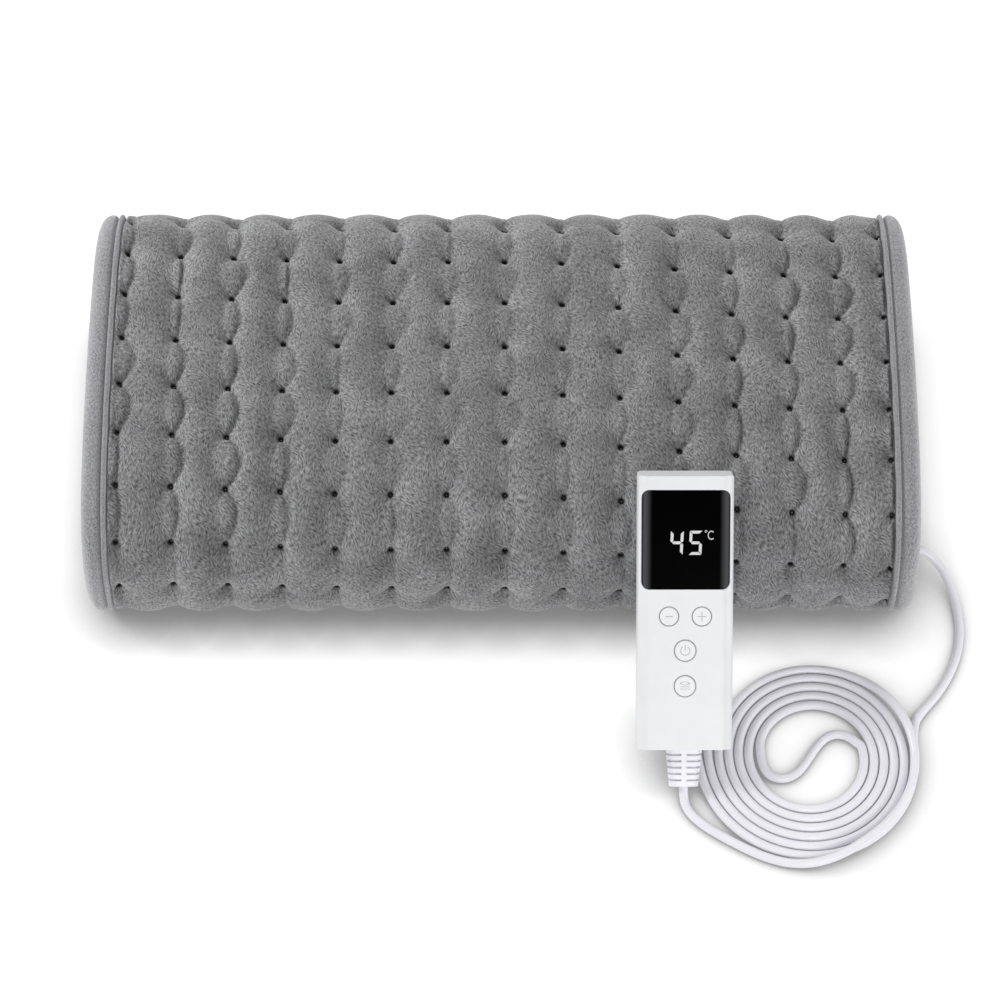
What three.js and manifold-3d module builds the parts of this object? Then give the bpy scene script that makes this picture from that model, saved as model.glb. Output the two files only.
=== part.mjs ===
// A heating pad with its wired hand controller, as it lies when it is put down: the plush pad is rolled
// flat, the controller leans on the roll, and the lead between them is coiled on the floor beside it.
// Millimetres, +Z up, +Y away from the viewer. The origin is on the floor under the middle of the
// pad and the controller.
import * as THREE from 'three';
import { mergeVertices } from 'three/addons/utils/BufferGeometryUtils.js';
import Module from 'manifold-3d';

const wasm = await Module();
wasm.setup();

// Sizes that several pieces share
const seat = 0.3; // gap between pieces that touch
const overrun = 5; // how far a cutter runs past what it cuts
const weld = 1e-4; // distance under which two points are one

// The pad, laid out flat
const padWidth = 430;
const hemWidth = 11.7; // smooth band outside the last seam
const columnCount = 15;
const firstColumnInset = 4.5; // from the hem's seam to the first column of tufts
const columnPitch = (padWidth - 2 * hemWidth - 2 * firstColumnInset) / (columnCount - 1);
const rowPitch = 27.5; // between two rows of tufts
const rowStart = 6.7; // from the outer end to the first row

// The pad's layers, from the outer face of the roll to its inner face
const plushLoft = 9; // crest of a channel of the front cover
const channelDepth = 3.6; // from the crest to the valley between two tufts
const tuftDepth = 6.6; // from the crest to the bottom of a tuft
const seamThickness = 2.6; // front cover where it is sewn into the hem
const wireDiameter = 2;
const carrierThickness = 3;
const backLoft = 5;

// The roll, seen from its end
const rollDepth = 220;
const rollHeight = 100;
const looseEnd = 12.2; // of the line that the layers follow, past the pad's inner end

// The lead
const leadDiameter = 4.7;
const lanePitch = 5.2; // between two turns that lie side by side
const crossingPitch = 5.6; // between a strand and one that it lies on
const coilOuterRadius = 53.3;
const coilX = 159.6;
const coilY = -184;
const coilTurnSteps = 24;
const coilSides = 6;
const leadSides = 8;

// The controller
const handsetLength = 140.6;
const handsetWidth = 48.8; // at the display end
const handsetTaper = 2.4; // narrower than that at the lead's end
const handsetThickness = 19;
const handsetX = 93.2;
const handsetLean = 38; // degrees from the floor
const wall = 1.8;
const faceEdgeRadius = 6;
const backEdgeRadius = 3.5;
const planCornerRadius = 1.8;
const shellSplit = 8; // height of the seam between the shells, from the back

// Display
const lensWidth = 44.6;
const lensShare = 0.36; // of the controller's length
const lensLength = lensShare * handsetLength;
const lensThickness = 2.4;
const lensCornerRadius = 4;
const lensFromTop = 7.2;
const lensGap = 0.15;
const windowMargin = 3.4; // ledge that the lens rests on
const ledgeThickness = 1.2;
const displayWidth = 31;
const displayLength = 21;
const displayBelowLens = 1.2; // its middle below the lens's middle

// Keys
const keyTravel = 0.5;
const keyGap = 0.2; // ring that shows round a key
const smallKeyDiameter = 10;
const largeKeyDiameter = 11.2;
const keyFlange = 1;
const keyFlangeThickness = 0.8;
const keyStemDiameter = 3.2;
const keySpread = 16.6; // between the centres of the two small keys
// Where the keys lie, as shares of the controller's length from the lead's end
const smallKeyShare = 0.49;
const powerKeyShare = 0.365;
const modeKeyShare = 0.235;

// Circuit board and what it carries
const boardThickness = 1.6;
const boardWidth = 39;
const boardStartShare = 0.19; // of the controller's length, from the lead's end
const boardFromTop = 11;
const boardStart = boardStartShare * handsetLength;
const boardLength = handsetLength - boardStart - boardFromTop;
const switchSide = 6;
const switchHeight = 3.5;
const plungerDiameter = 3.4;
const plungerHeight = 1.5; // stands out of its switch
const plungerDepth = 2; // reaches into its switch
const plungerGap = 0.15;

// Screws and the lead's clamp
const screwHeadDiameter = 4.6;
const screwHeadHeight = 1.6;
const screwDiameter = 2.2;
const screwRecess = 3.2; // across the cross in the head
const screwLength = 9;
const bossDiameter = 5.4;
const screwInset = 6.4; // from the sides of the controller
const screwFromTop = 5;
const screwFromEnd = 13;
const clampLength = 5;
const clampHeight = 2.4;
const clampY = 13;

// Strain relief of the controller
const bootLength = 20;
const bootRootWidth = 19;
const bootTipWidth = 15;
const bootRootThickness = 9;
const bootTipThickness = 7.6;
const bootRibs = 5;
const bootGrooveWidth = 1.1;
const bootGrooveDepth = 1.5;
const bootWebWidth = 2.6;
const bootNeckWidth = 12;
const bootNeckThickness = 7;
const bootFlangeWidth = 16;
const bootFlangeThickness = 10;
const bootFlangeLength = 2.2;

// Gland in the pad's hem
const glandAlong = 148; // from the outer end of the pad to the gland
const glandInsideLength = 8;
const glandWidth = 13;
const glandThickness = 6.4;
const glandCollarLength = 1.8; // stands out of the hem
const glandRootDiameter = 6.4;
const glandTipDiameter = 5.8;
const glandSides = 16;

// Colours and surfaces
const plushGrey = new THREE.MeshStandardMaterial({ color: 0x8a8b8e, roughness: 0.95 });
const plushBack = new THREE.MeshStandardMaterial({ color: 0x7d7e81, roughness: 0.95 });
const hemGrey = new THREE.MeshStandardMaterial({ color: 0x909195, roughness: 0.95 });
const feltWhite = new THREE.MeshStandardMaterial({ color: 0xd8d4ca, roughness: 1 });
const wireRed = new THREE.MeshStandardMaterial({ color: 0xa04438, roughness: 0.6 });
const caseWhite = new THREE.MeshStandardMaterial({ color: 0xf1f2f3, roughness: 0.4 });
const lensBlack = new THREE.MeshStandardMaterial({ color: 0x08080a, roughness: 0.1 });
const displayGrey = new THREE.MeshStandardMaterial({ color: 0x2a2b2e, roughness: 0.5 });
const boardGreen = new THREE.MeshStandardMaterial({ color: 0x2c6a42, roughness: 0.5 });
const partBlack = new THREE.MeshStandardMaterial({ color: 0x1c1c1e, roughness: 0.5 });
const capacitorYellow = new THREE.MeshStandardMaterial({ color: 0xd6b432, roughness: 0.5 });
const fuseGlass = new THREE.MeshStandardMaterial({ color: 0xc9d2d4, roughness: 0.2 });
const steel = new THREE.MeshStandardMaterial({ color: 0xb4b6b8, roughness: 0.3, metalness: 1 });
const leadWhite = new THREE.MeshStandardMaterial({ color: 0xe6e6ec, roughness: 0.45 });

const pieces = []; // every mesh, to measure the part by

function piece(name, geometry, material, parent) {
  const mesh = new THREE.Mesh(geometry, material);
  mesh.name = name;
  parent.add(mesh);
  pieces.push(mesh);
  return mesh;
}

// Solids for joining and cutting; a geometry that already shares its vertices is taken as it is
function solid(geometry) {
  let merged = geometry;
  if (!geometry.userData.shared) {
    const bare = geometry.clone();
    bare.deleteAttribute('normal');
    bare.deleteAttribute('uv');
    merged = mergeVertices(bare, weld);
  }
  return new wasm.Manifold(new wasm.Mesh({
    numProp: 3,
    vertProperties: merged.attributes.position.array,
    triVerts: new Uint32Array(merged.index.array),
  }));
}

function geometryOf(body) {
  const mesh = body.getMesh();
  const geometry = new THREE.BufferGeometry();
  geometry.setAttribute('position', new THREE.BufferAttribute(new Float32Array(mesh.vertProperties), 3));
  geometry.setIndex(new THREE.BufferAttribute(new Uint32Array(mesh.triVerts), 1));
  geometry.computeVertexNormals();
  geometry.userData.shared = true;
  return geometry;
}

function box(width, length, height, x, y, z) {
  return new THREE.BoxGeometry(width, length, height).translate(x, y, z);
}

// A round bar that stands on z, from low to high
function bar(diameter, low, high, x, y, sides = 20) {
  const geometry = new THREE.CylinderGeometry(diameter / 2, diameter / 2, high - low, sides);
  return geometry.rotateX(Math.PI / 2).translate(x, y, (low + high) / 2);
}

// A rectangle with round corners, centred on x and y
function roundedRectangle(width, length, radius, x = 0, y = 0) {
  const shape = new THREE.Shape();
  const right = x + width / 2;
  const left = x - width / 2;
  const far = y + length / 2;
  const near = y - length / 2;
  shape.absarc(right - radius, far - radius, radius, 0, Math.PI / 2);
  shape.absarc(left + radius, far - radius, radius, Math.PI / 2, Math.PI);
  shape.absarc(left + radius, near + radius, radius, Math.PI, Math.PI * 1.5);
  shape.absarc(right - radius, near + radius, radius, Math.PI * 1.5, Math.PI * 2);
  return shape;
}

function plate(shape, low, high, curveSegments = 5) {
  const depth = high - low;
  const geometry = new THREE.ExtrudeGeometry(shape, { depth, bevelEnabled: false, curveSegments });
  return geometry.translate(0, 0, low);
}

// A closed body through rings of points that have the same count; outline is a ring's flat shape,
// which closes both ends
function loft(rings, outline) {
  const count = outline.length;
  const points = rings.flat();
  const last = (rings.length - 1) * count;
  const faces = [];
  for (let ring = 0; ring < rings.length - 1; ring += 1) {
    for (let k = 0; k < count; k += 1) {
      const a = ring * count + k;
      const b = ring * count + ((k + 1) % count);
      faces.push(a, b, b + count, a, b + count, a + count);
    }
  }
  const lid = THREE.ShapeUtils.triangulateShape(outline, []);
  const lidTurn = THREE.ShapeUtils.area(lid[0].map((k) => outline[k]));
  const sameTurn = lidTurn * THREE.ShapeUtils.area(outline) > 0;
  for (const [a, b, c] of lid) {
    const [first, third] = sameTurn ? [a, c] : [c, a];
    faces.push(third, b, first, last + first, last + b, last + third);
  }
  const geometry = new THREE.BufferGeometry().setFromPoints(points);
  geometry.setIndex(faces);
  const volume = signedVolume(geometry);
  if (volume < 0) {
    for (let k = 0; k < faces.length; k += 3) {
      [faces[k], faces[k + 1]] = [faces[k + 1], faces[k]];
    }
    geometry.setIndex(faces);
  }
  geometry.computeVertexNormals();
  geometry.userData.shared = true;
  return geometry;
}

function signedVolume(geometry) {
  const place = geometry.attributes.position;
  const index = geometry.index;
  const a = new THREE.Vector3();
  const b = new THREE.Vector3();
  const c = new THREE.Vector3();
  let volume = 0;
  for (let k = 0; k < index.count; k += 3) {
    a.fromBufferAttribute(place, index.getX(k));
    b.fromBufferAttribute(place, index.getX(k + 1));
    c.fromBufferAttribute(place, index.getX(k + 2));
    volume += a.dot(b.cross(c)) / 6;
  }
  return volume;
}

// A round tube through points, one ring at each, turned as little as possible on the way
function tube(points, radius, sides) {
  const circle = [];
  for (let k = 0; k < sides; k += 1) {
    const angle = (k / sides) * Math.PI * 2;
    circle.push(new THREE.Vector2(Math.cos(angle), Math.sin(angle)).multiplyScalar(radius));
  }
  const rings = [];
  let across = null;
  points.forEach((point, k) => {
    const ahead = points[Math.min(k + 1, points.length - 1)].clone().sub(point).normalize();
    const behind = point.clone().sub(points[Math.max(k - 1, 0)]).normalize();
    const way = ahead.add(behind).normalize();
    if (across === null) {
      across = new THREE.Vector3(0, 0, 1);
    }
    across.addScaledVector(way, -across.dot(way)).normalize();
    const beside = new THREE.Vector3().crossVectors(way, across);
    rings.push(circle.map((p) => point.clone().addScaledVector(across, p.x).addScaledVector(beside, p.y)));
  });
  return loft(rings, circle);
}

// The roll: where each layer runs, seen from the end
// Points that the base of the front cover passes, as shares of the roll's depth and height,
// from the outer free end under the roll to the inner free end at its heart
const rollShares = [
  [0.355, 0.09], [0.18, 0.09], [0, 0.09], [-0.2, 0.09], [-0.33, 0.09], [-0.41, 0.12], [-0.452, 0.21],
  [-0.464, 0.34], [-0.46, 0.48], [-0.437, 0.63], [-0.385, 0.755], [-0.3, 0.84], [-0.17, 0.893],
  [0, 0.91], [0.17, 0.893], [0.305, 0.85], [0.395, 0.765], [0.445, 0.65], [0.459, 0.52], [0.44, 0.41],
  [0.385, 0.33], [0.3, 0.305], [0.15, 0.3], [-0.1, 0.3], [-0.265, 0.303], [-0.322, 0.338], [-0.35, 0.4],
  [-0.356, 0.47], [-0.342, 0.54], [-0.305, 0.598], [-0.245, 0.638], [-0.12, 0.672], [0, 0.683],
  [0.12, 0.677], [0.24, 0.65], [0.34, 0.604],
];
const rollPoints = rollShares.map(([y, z]) => new THREE.Vector3(0, y * rollDepth, z * rollHeight));
const rollCurve = new THREE.CatmullRomCurve3(rollPoints, false, 'centripetal');
const rollSamples = 1200;
const rollTrace = [];
{
  let along = 0;
  let before = null;
  for (let k = 0; k <= rollSamples; k += 1) {
    const point = rollCurve.getPoint(k / rollSamples);
    point.z = Math.max(point.z, plushLoft);
    if (before !== null) {
      along += point.distanceTo(before);
    }
    rollTrace.push({ along, point });
    before = point;
  }
}

const padLength = rollTrace[rollSamples].along - looseEnd;

function tracePoint(along) {
  const next = Math.max(rollTrace.findIndex((entry) => entry.along >= along), 1);
  const low = rollTrace[next - 1];
  const high = rollTrace[next];
  const share = (along - low.along) / (high.along - low.along);
  return low.point.clone().lerp(high.point, share);
}

// Stations along the pad, at each row and between rows where the roll shows, and otherwise only
// where it bends
const quiltFrom = 5; // first row with its own stations
const quiltTo = 17; // last row with its own stations
const bendStep = 24; // degrees between stations on a bend
const headingStep = 4; // how far apart two headings are read
const shownFrom = rowStart + quiltFrom * rowPitch;
const shownTo = rowStart + quiltTo * rowPitch;

function heading(along) {
  const a = tracePoint(Math.max(along - headingStep / 2, headingStep / 8));
  const b = tracePoint(Math.min(along + headingStep / 2, padLength - headingStep / 8));
  return Math.atan2(b.z - a.z, b.y - a.y);
}

function turned(a, b) {
  return Math.abs(THREE.MathUtils.euclideanModulo(a - b + Math.PI, Math.PI * 2) - Math.PI);
}

const stationPlaces = [0];
{
  let last = heading(0);
  for (let along = headingStep; along < padLength - headingStep; along += headingStep) {
    const shown = along > shownFrom - rowPitch / 4 && along < shownTo + rowPitch / 4;
    const now = heading(along);
    const bend = THREE.MathUtils.radToDeg(turned(now, last));
    if (!shown && bend > bendStep) {
      stationPlaces.push(along);
      last = now;
    }
    if (shown) {
      last = now;
    }
  }
  for (let row = quiltFrom; row <= quiltTo; row += 0.5) {
    stationPlaces.push(rowStart + row * rowPitch);
  }
  stationPlaces.push(padLength);
  stationPlaces.sort((a, b) => a - b);
}
const stations = stationPlaces.map((along) => {
  const angle = heading(along);
  return {
    along,
    point: tracePoint(along),
    outward: new THREE.Vector3(0, Math.sin(angle), -Math.cos(angle)),
  };
});
// The outward side of the roll is the floor's side where the pad starts
if (stations[0].outward.z > 0) {
  stations.forEach((station) => station.outward.negate());
}

// A place on the pad: across it, along it and out from the base of the front cover
function padPlace(across, along, out) {
  const next = Math.max(stations.findIndex((station) => station.along >= along), 1);
  const low = stations[next - 1];
  const high = stations[next];
  const share = (along - low.along) / (high.along - low.along);
  const a = low.point.clone().addScaledVector(low.outward, out);
  const b = high.point.clone().addScaledVector(high.outward, out);
  return a.lerp(b, share).setX(across);
}

// A layer of the pad, from its section at each station
function layer(sectionAt) {
  const rings = [];
  let outline = null;
  stations.forEach((station) => {
    const section = sectionAt(station);
    outline = outline ?? section.map(([across, out]) => new THREE.Vector2(across, out));
    rings.push(section.map(([across, out]) => {
      const place = station.point.clone().addScaledVector(station.outward, out).setX(across);
      place.z = Math.max(place.z, 0);
      return place;
    }));
  });
  return loft(rings, outline);
}

const coverHalf = padWidth / 2 - hemWidth;
const wireRoom = wireDiameter + 2 * seat;
const carrierTop = -wireRoom;
const backTop = carrierTop - carrierThickness - seat;
const backBottom = backTop - backLoft;
const pressedHeight = 2.5; // above the floor, where the channels begin to fill out

// How thick the front cover is at a place
function coverThickness(atColumn, station) {
  const row = (station.along - rowStart) / rowPitch;
  const onRow = Math.abs(row - Math.round(row)) < weld;
  const shown = station.along >= shownFrom - weld && station.along <= shownTo + weld;
  const lift = station.point.clone().addScaledVector(station.outward, plushLoft).z;
  const filled = THREE.MathUtils.clamp(lift / pressedHeight, 0, 1);
  if (!atColumn) {
    return plushLoft;
  }
  const depth = shown && onRow ? tuftDepth : channelDepth;
  return plushLoft - depth * filled;
}

function frontSection(station) {
  const section = [[-coverHalf, 0], [-coverHalf, seamThickness]];
  const first = -((columnCount - 1) / 2) * columnPitch;
  for (let column = 0; column < columnCount; column += 1) {
    const across = first + column * columnPitch;
    section.push([across, coverThickness(true, station)]);
    if (column < columnCount - 1) {
      section.push([across + columnPitch / 2, coverThickness(false, station)]);
    }
  }
  section.push([coverHalf, seamThickness], [coverHalf, 0]);
  return section;
}

function flatSection(half, top, bottom) {
  return () => [[-half, bottom], [-half, top], [half, top], [half, bottom]];
}

// The hem: a band folded round the edges of all the layers, with a piped seam on its inner side
const pipingShares = [[0, 0.25], [0.06, 0.84], [0.2, 0.9], [0.33, 0.62], [0.7, 0.5], [0.95, 0.1]];
const hemUnderShares = [[1, -0.4], [0.9, -0.85], [0.2, -1], [0, -1]];
function hemSection(side) {
  const inner = coverHalf + seat;
  const across = (share) => side * (inner + share * (padWidth / 2 - inner));
  const over = pipingShares.map(([x, out]) => [across(x), out * plushLoft]);
  const under = hemUnderShares.map(([x, out]) => [across(x), out * -backBottom]);
  const section = over.concat(under);
  return side > 0 ? section : section.reverse();
}

const assembly = new THREE.Group();
const pad = new THREE.Group();
assembly.add(pad);

// The gland's own axes: its length across the pad, its width along the pad and its thickness out
const glandPlace = padPlace(padWidth / 2, glandAlong, (carrierTop + backBottom) / 2);
const glandTilt = heading(glandAlong) - Math.PI;
function placeGland(geometry) {
  return geometry.rotateX(glandTilt).translate(glandPlace.x, glandPlace.y, glandPlace.z);
}

piece('pad_front_cover', layer(frontSection), plushGrey, pad);
piece('heating_carrier', layer(flatSection(coverHalf - seat, carrierTop, carrierTop - carrierThickness)),
  feltWhite, pad);
piece('pad_back_cover', layer(flatSection(coverHalf, backTop, backBottom)), plushBack, pad);
piece('hem_left', layer(() => hemSection(-1)), hemGrey, pad);

const glandPocket = placeGland(box(
  (glandInsideLength + seat) * 2, glandWidth + 2 * seat, glandThickness + 2 * seat, 0, 0, 0));
const hemRight = solid(layer(() => hemSection(1))).subtract(solid(glandPocket));
piece('hem_right', geometryOf(hemRight), hemGrey, pad);

// Heating wire: one strand that runs to and fro across the pad, between the cover and the carrier
const wireMargin = 24; // from the edge of the cover to a bend
const wireBendSteps = 4;
const wireSides = 5;
const wireFirst = 1; // row that the first run follows
const wireRuns = 2 * Math.floor((padLength / rowPitch - wireFirst) / 2);
function wirePoints() {
  const points = [];
  const reach = coverHalf - wireMargin;
  const radius = rowPitch / 2;
  for (let run = 0; run < wireRuns; run += 1) {
    const along = rowStart + (wireFirst + run) * rowPitch + rowPitch / 4;
    const side = run % 2 === 0 ? 1 : -1;
    points.push(padPlace(-side * reach, along, -wireRoom / 2));
    points.push(padPlace(side * reach, along, -wireRoom / 2));
    if (run < wireRuns - 1) {
      const bends = stationPlaces.filter((place) => place > along + seat && place < along + rowPitch - seat);
      const places = [...bends];
      for (let step = 1; step < wireBendSteps; step += 1) {
        const place = along + radius * (1 - Math.cos((step / wireBendSteps) * Math.PI));
        if (bends.every((bend) => Math.abs(bend - place) > wireDiameter)) {
          places.push(place);
        }
      }
      places.sort((one, other) => one - other);
      places.forEach((place) => {
        const swing = Math.sqrt(radius ** 2 - (radius - (place - along)) ** 2);
        points.push(padPlace(side * (reach + swing), place, -wireRoom / 2));
      });
    }
  }
  return points;
}
piece('heating_wire', tube(wirePoints(), wireDiameter / 2, wireSides), wireRed, pad);

// Temperature sensor and thermal cut-outs, flat between two runs of the wire
const sensorLength = 14;
const sensorWidth = 5;
function padDevice(name, row, across, material) {
  const along = rowStart + row * rowPitch;
  const place = padPlace(across, along, -wireRoom / 2);
  const body = box(sensorLength, sensorWidth, wireDiameter, 0, 0, 0).rotateX(heading(along));
  piece(name, body.translate(place.x, place.y, place.z), material, pad);
}
const sensorRow = 12.75;
const cutoutRows = [8.75, 16.75];
const cutoutColumns = [-3, 3]; // from the middle column
padDevice('temperature_sensor', sensorRow, 0, partBlack);
cutoutRows.forEach((row, k) => {
  padDevice(`thermal_cutout_${k + 1}`, row, cutoutColumns[k] * columnPitch, partBlack);
});

const cornerShare = 0.8; // of half the thickness, for a strain relief's corners
// A strain relief: a bar that narrows towards its tip, with grooves on both sides of a web.
// It runs from zero to its length along x
function ribbedBoot(sizes) {
  const { length, rootWidth, tipWidth, rootThickness, tipThickness } = sizes;
  const { ribs, grooveWidth, grooveDepth, web } = sizes;
  const shrunk = (inset) => {
    const radius = (tipThickness / 2 - inset) * cornerShare;
    const root = roundedRectangle(rootWidth - 2 * inset, rootThickness - 2 * inset, radius).getPoints(2);
    const outline = root.slice(0, -1);
    const tipX = (tipWidth - 2 * inset) / (rootWidth - 2 * inset);
    const tipY = (tipThickness - 2 * inset) / (rootThickness - 2 * inset);
    const rings = [0, 1].map((end) => outline.map((p) => new THREE.Vector3(
      end * length,
      p.x * (end === 1 ? tipX : 1),
      p.y * (end === 1 ? tipY : 1),
    )));
    return solid(loft(rings, outline));
  };
  const core = shrunk(grooveDepth);
  let body = shrunk(0);
  const pitch = length / (ribs + 1);
  for (let rib = 1; rib <= ribs; rib += 1) {
    for (const side of [-1, 1]) {
      const reach = rootWidth / 2 + overrun;
      const y = side * (web / 2 + reach / 2);
      const groove = solid(box(grooveWidth, reach, rootThickness + overrun, rib * pitch, y, 0));
      body = body.subtract(groove.subtract(core));
    }
  }
  return body;
}

const glandBody = solid(box(glandInsideLength + 2 * seat, glandWidth, glandThickness,
  -(glandInsideLength - 2 * seat) / 2, 0, 0));
const glandCollar = new THREE.CylinderGeometry(
  glandTipDiameter / 2, glandRootDiameter / 2, glandCollarLength, glandSides)
  .rotateZ(-Math.PI / 2).translate(2 * seat + glandCollarLength / 2, 0, 0);
piece('pad_gland', placeGland(geometryOf(glandBody.add(solid(glandCollar)))), leadWhite, pad);

// The controller, modelled lying on its back: x across it, y from the lead's end, z from its back
const handset = new THREE.Group();
assembly.add(handset);

function taperAt(y) {
  return 1 - (handsetTaper / handsetWidth) * (1 - y / handsetLength);
}

function tapered(geometry) {
  const place = geometry.attributes.position;
  for (let k = 0; k < place.count; k += 1) {
    place.setX(k, place.getX(k) * taperAt(place.getY(k)));
  }
  return geometry;
}

// The controller's outer form, drawn in by an inset all round
const faceArcSteps = 7;
function handsetForm(inset) {
  const half = handsetWidth / 2 - inset;
  const top = handsetThickness - inset;
  const face = faceEdgeRadius - inset;
  const back = backEdgeRadius - inset;
  const section = new THREE.Shape();
  section.absarc(half - face, top - face, face, 0, Math.PI / 2);
  section.absarc(-half + face, top - face, face, Math.PI / 2, Math.PI);
  section.absarc(-half + back, inset + back, back, Math.PI, Math.PI * 1.5);
  section.absarc(half - back, inset + back, back, Math.PI * 1.5, Math.PI * 2);
  const sweep = plate(section, -handsetLength - overrun, overrun, faceArcSteps).rotateX(Math.PI / 2);
  const corner = planCornerRadius - Math.min(inset, planCornerRadius / 2);
  const plan = roundedRectangle(
    handsetWidth - 2 * inset, handsetLength - 2 * inset, corner, 0, handsetLength / 2);
  const outline = plate(plan, -overrun, handsetThickness + overrun, 3);
  return solid(tapered(sweep)).intersect(solid(tapered(outline)));
}

const shellSpan = handsetWidth + 2 * overrun;
const middleY = handsetLength / 2;
function slab(low, high) {
  return solid(box(shellSpan, handsetLength + 2 * overrun, high - low, 0, middleY, (low + high) / 2));
}

const cavity = handsetForm(wall);
const lensY = handsetLength - lensFromTop - lensLength / 2;
const lensBottom = handsetThickness - lensThickness;
const keys = [
  { name: 'minus', x: -keySpread / 2, y: smallKeyShare * handsetLength, diameter: smallKeyDiameter },
  { name: 'plus', x: keySpread / 2, y: smallKeyShare * handsetLength, diameter: smallKeyDiameter },
  { name: 'power', x: 0, y: powerKeyShare * handsetLength, diameter: largeKeyDiameter },
  { name: 'mode', x: 0, y: modeKeyShare * handsetLength, diameter: largeKeyDiameter },
];
const screwPlaces = [-1, 1].flatMap((side) => [
  { x: side * (handsetWidth / 2 - screwInset), y: screwFromEnd },
  { x: side * (handsetWidth / 2 - screwInset), y: handsetLength - screwFromTop },
]);
const bootCentreZ = handsetThickness / 2;
const neckHole = box(bootNeckWidth + 2 * seat, wall * 2 + overrun, bootNeckThickness + 2 * seat,
  0, 0, bootCentreZ);

const windowWidth = lensWidth - 2 * windowMargin;
const windowLength = lensLength - 2 * windowMargin;
// Front shell: the face with the display's recess and the holes for the keys
function frontShell() {
  let body = handsetForm(0).subtract(cavity);
  const ledgeBottom = lensBottom - seat - ledgeThickness;
  const ledge = solid(plate(
    roundedRectangle(lensWidth - 2 * seat, lensLength + 2 * wall, lensCornerRadius, 0, lensY),
    ledgeBottom, handsetThickness - wall + seat));
  body = body.add(ledge.intersect(handsetForm(wall / 2)));
  for (const place of screwPlaces) {
    body = body.add(solid(bar(bossDiameter, shellSplit + seat, lensBottom, place.x, place.y)));
  }
  body = body.intersect(slab(shellSplit + seat, handsetThickness + overrun));
  const pocket = tapered(plate(
    roundedRectangle(lensWidth + 2 * lensGap, lensLength + 2 * lensGap, lensCornerRadius, 0, lensY),
    lensBottom - seat, handsetThickness + overrun));
  const opening = plate(
    roundedRectangle(windowWidth, windowLength, lensCornerRadius / 2, 0, lensY),
    shellSplit, handsetThickness);
  body = body.subtract(solid(pocket)).subtract(solid(opening)).subtract(solid(neckHole));
  for (const key of keys) {
    body = body.subtract(solid(bar(key.diameter + 2 * keyGap, shellSplit, handsetThickness + overrun,
      key.x, key.y, 28)));
  }
  for (const place of screwPlaces) {
    body = body.subtract(solid(bar(screwDiameter + 2 * seat, 0, screwHeadHeight + screwLength + seat * 2,
      place.x, place.y, 12)));
  }
  return body;
}

// Back shell: the tray with the bosses for the board and the screws
const boardBottom = shellSplit + seat;
const boardTop = boardBottom + boardThickness;
const postDiameter = 4;
const postInsetX = 3.4;
const postInsetY = 5;
const boardMiddleY = boardStart + boardLength / 2;
const postPlaces = [-1, 1].flatMap((side) => [-1, 1].map((end) => ({
  x: side * (boardWidth / 2 - postInsetX),
  y: boardMiddleY + end * (boardLength / 2 - postInsetY),
})));
const cradleHeight = bootCentreZ - leadDiameter / 2 - seat;
function backShell() {
  let body = handsetForm(0).subtract(cavity);
  for (const place of screwPlaces) {
    body = body.add(solid(bar(bossDiameter, wall / 2, shellSplit, place.x, place.y)));
  }
  for (const place of postPlaces) {
    body = body.add(solid(bar(postDiameter, wall / 2, shellSplit, place.x, place.y, 12)));
  }
  const cradle = box(bootNeckWidth, clampLength, cradleHeight - wall / 2,
    0, clampY, (cradleHeight + wall / 2) / 2);
  body = body.add(solid(cradle));
  body = body.intersect(slab(-overrun, shellSplit)).subtract(solid(neckHole));
  for (const place of screwPlaces) {
    body = body.subtract(solid(bar(screwDiameter + 2 * seat, -overrun, shellSplit + overrun,
      place.x, place.y, 12)));
    body = body.subtract(solid(bar(screwHeadDiameter + 2 * seat, -overrun, screwHeadHeight + seat,
      place.x, place.y, 16)));
  }
  return body;
}

piece('front_shell', geometryOf(frontShell()), caseWhite, handset);
piece('back_shell', geometryOf(backShell()), caseWhite, handset);

// Lens: its face follows the controller's curved face
const lensShape = roundedRectangle(lensWidth, lensLength, lensCornerRadius, 0, lensY);
const lensPlan = tapered(plate(lensShape, lensBottom, handsetThickness + overrun));
const lensForm = handsetForm(0).intersect(solid(lensPlan));
piece('display_lens', geometryOf(lensForm), lensBlack, handset);

// Display module on the board, under the lens
const displayBottom = boardTop + seat;
const displayTop = lensBottom - seat;
const displayY = lensY - displayBelowLens;
piece('display_module', box(displayWidth, displayLength, displayTop - displayBottom,
  0, displayY, (displayTop + displayBottom) / 2), displayGrey, handset);

// Circuit board with round corners
const boardShape = roundedRectangle(boardWidth, boardLength, postInsetX / 2, 0, boardMiddleY);
piece('circuit_board', plate(boardShape, boardBottom, boardTop, 2), boardGreen, handset);

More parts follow.
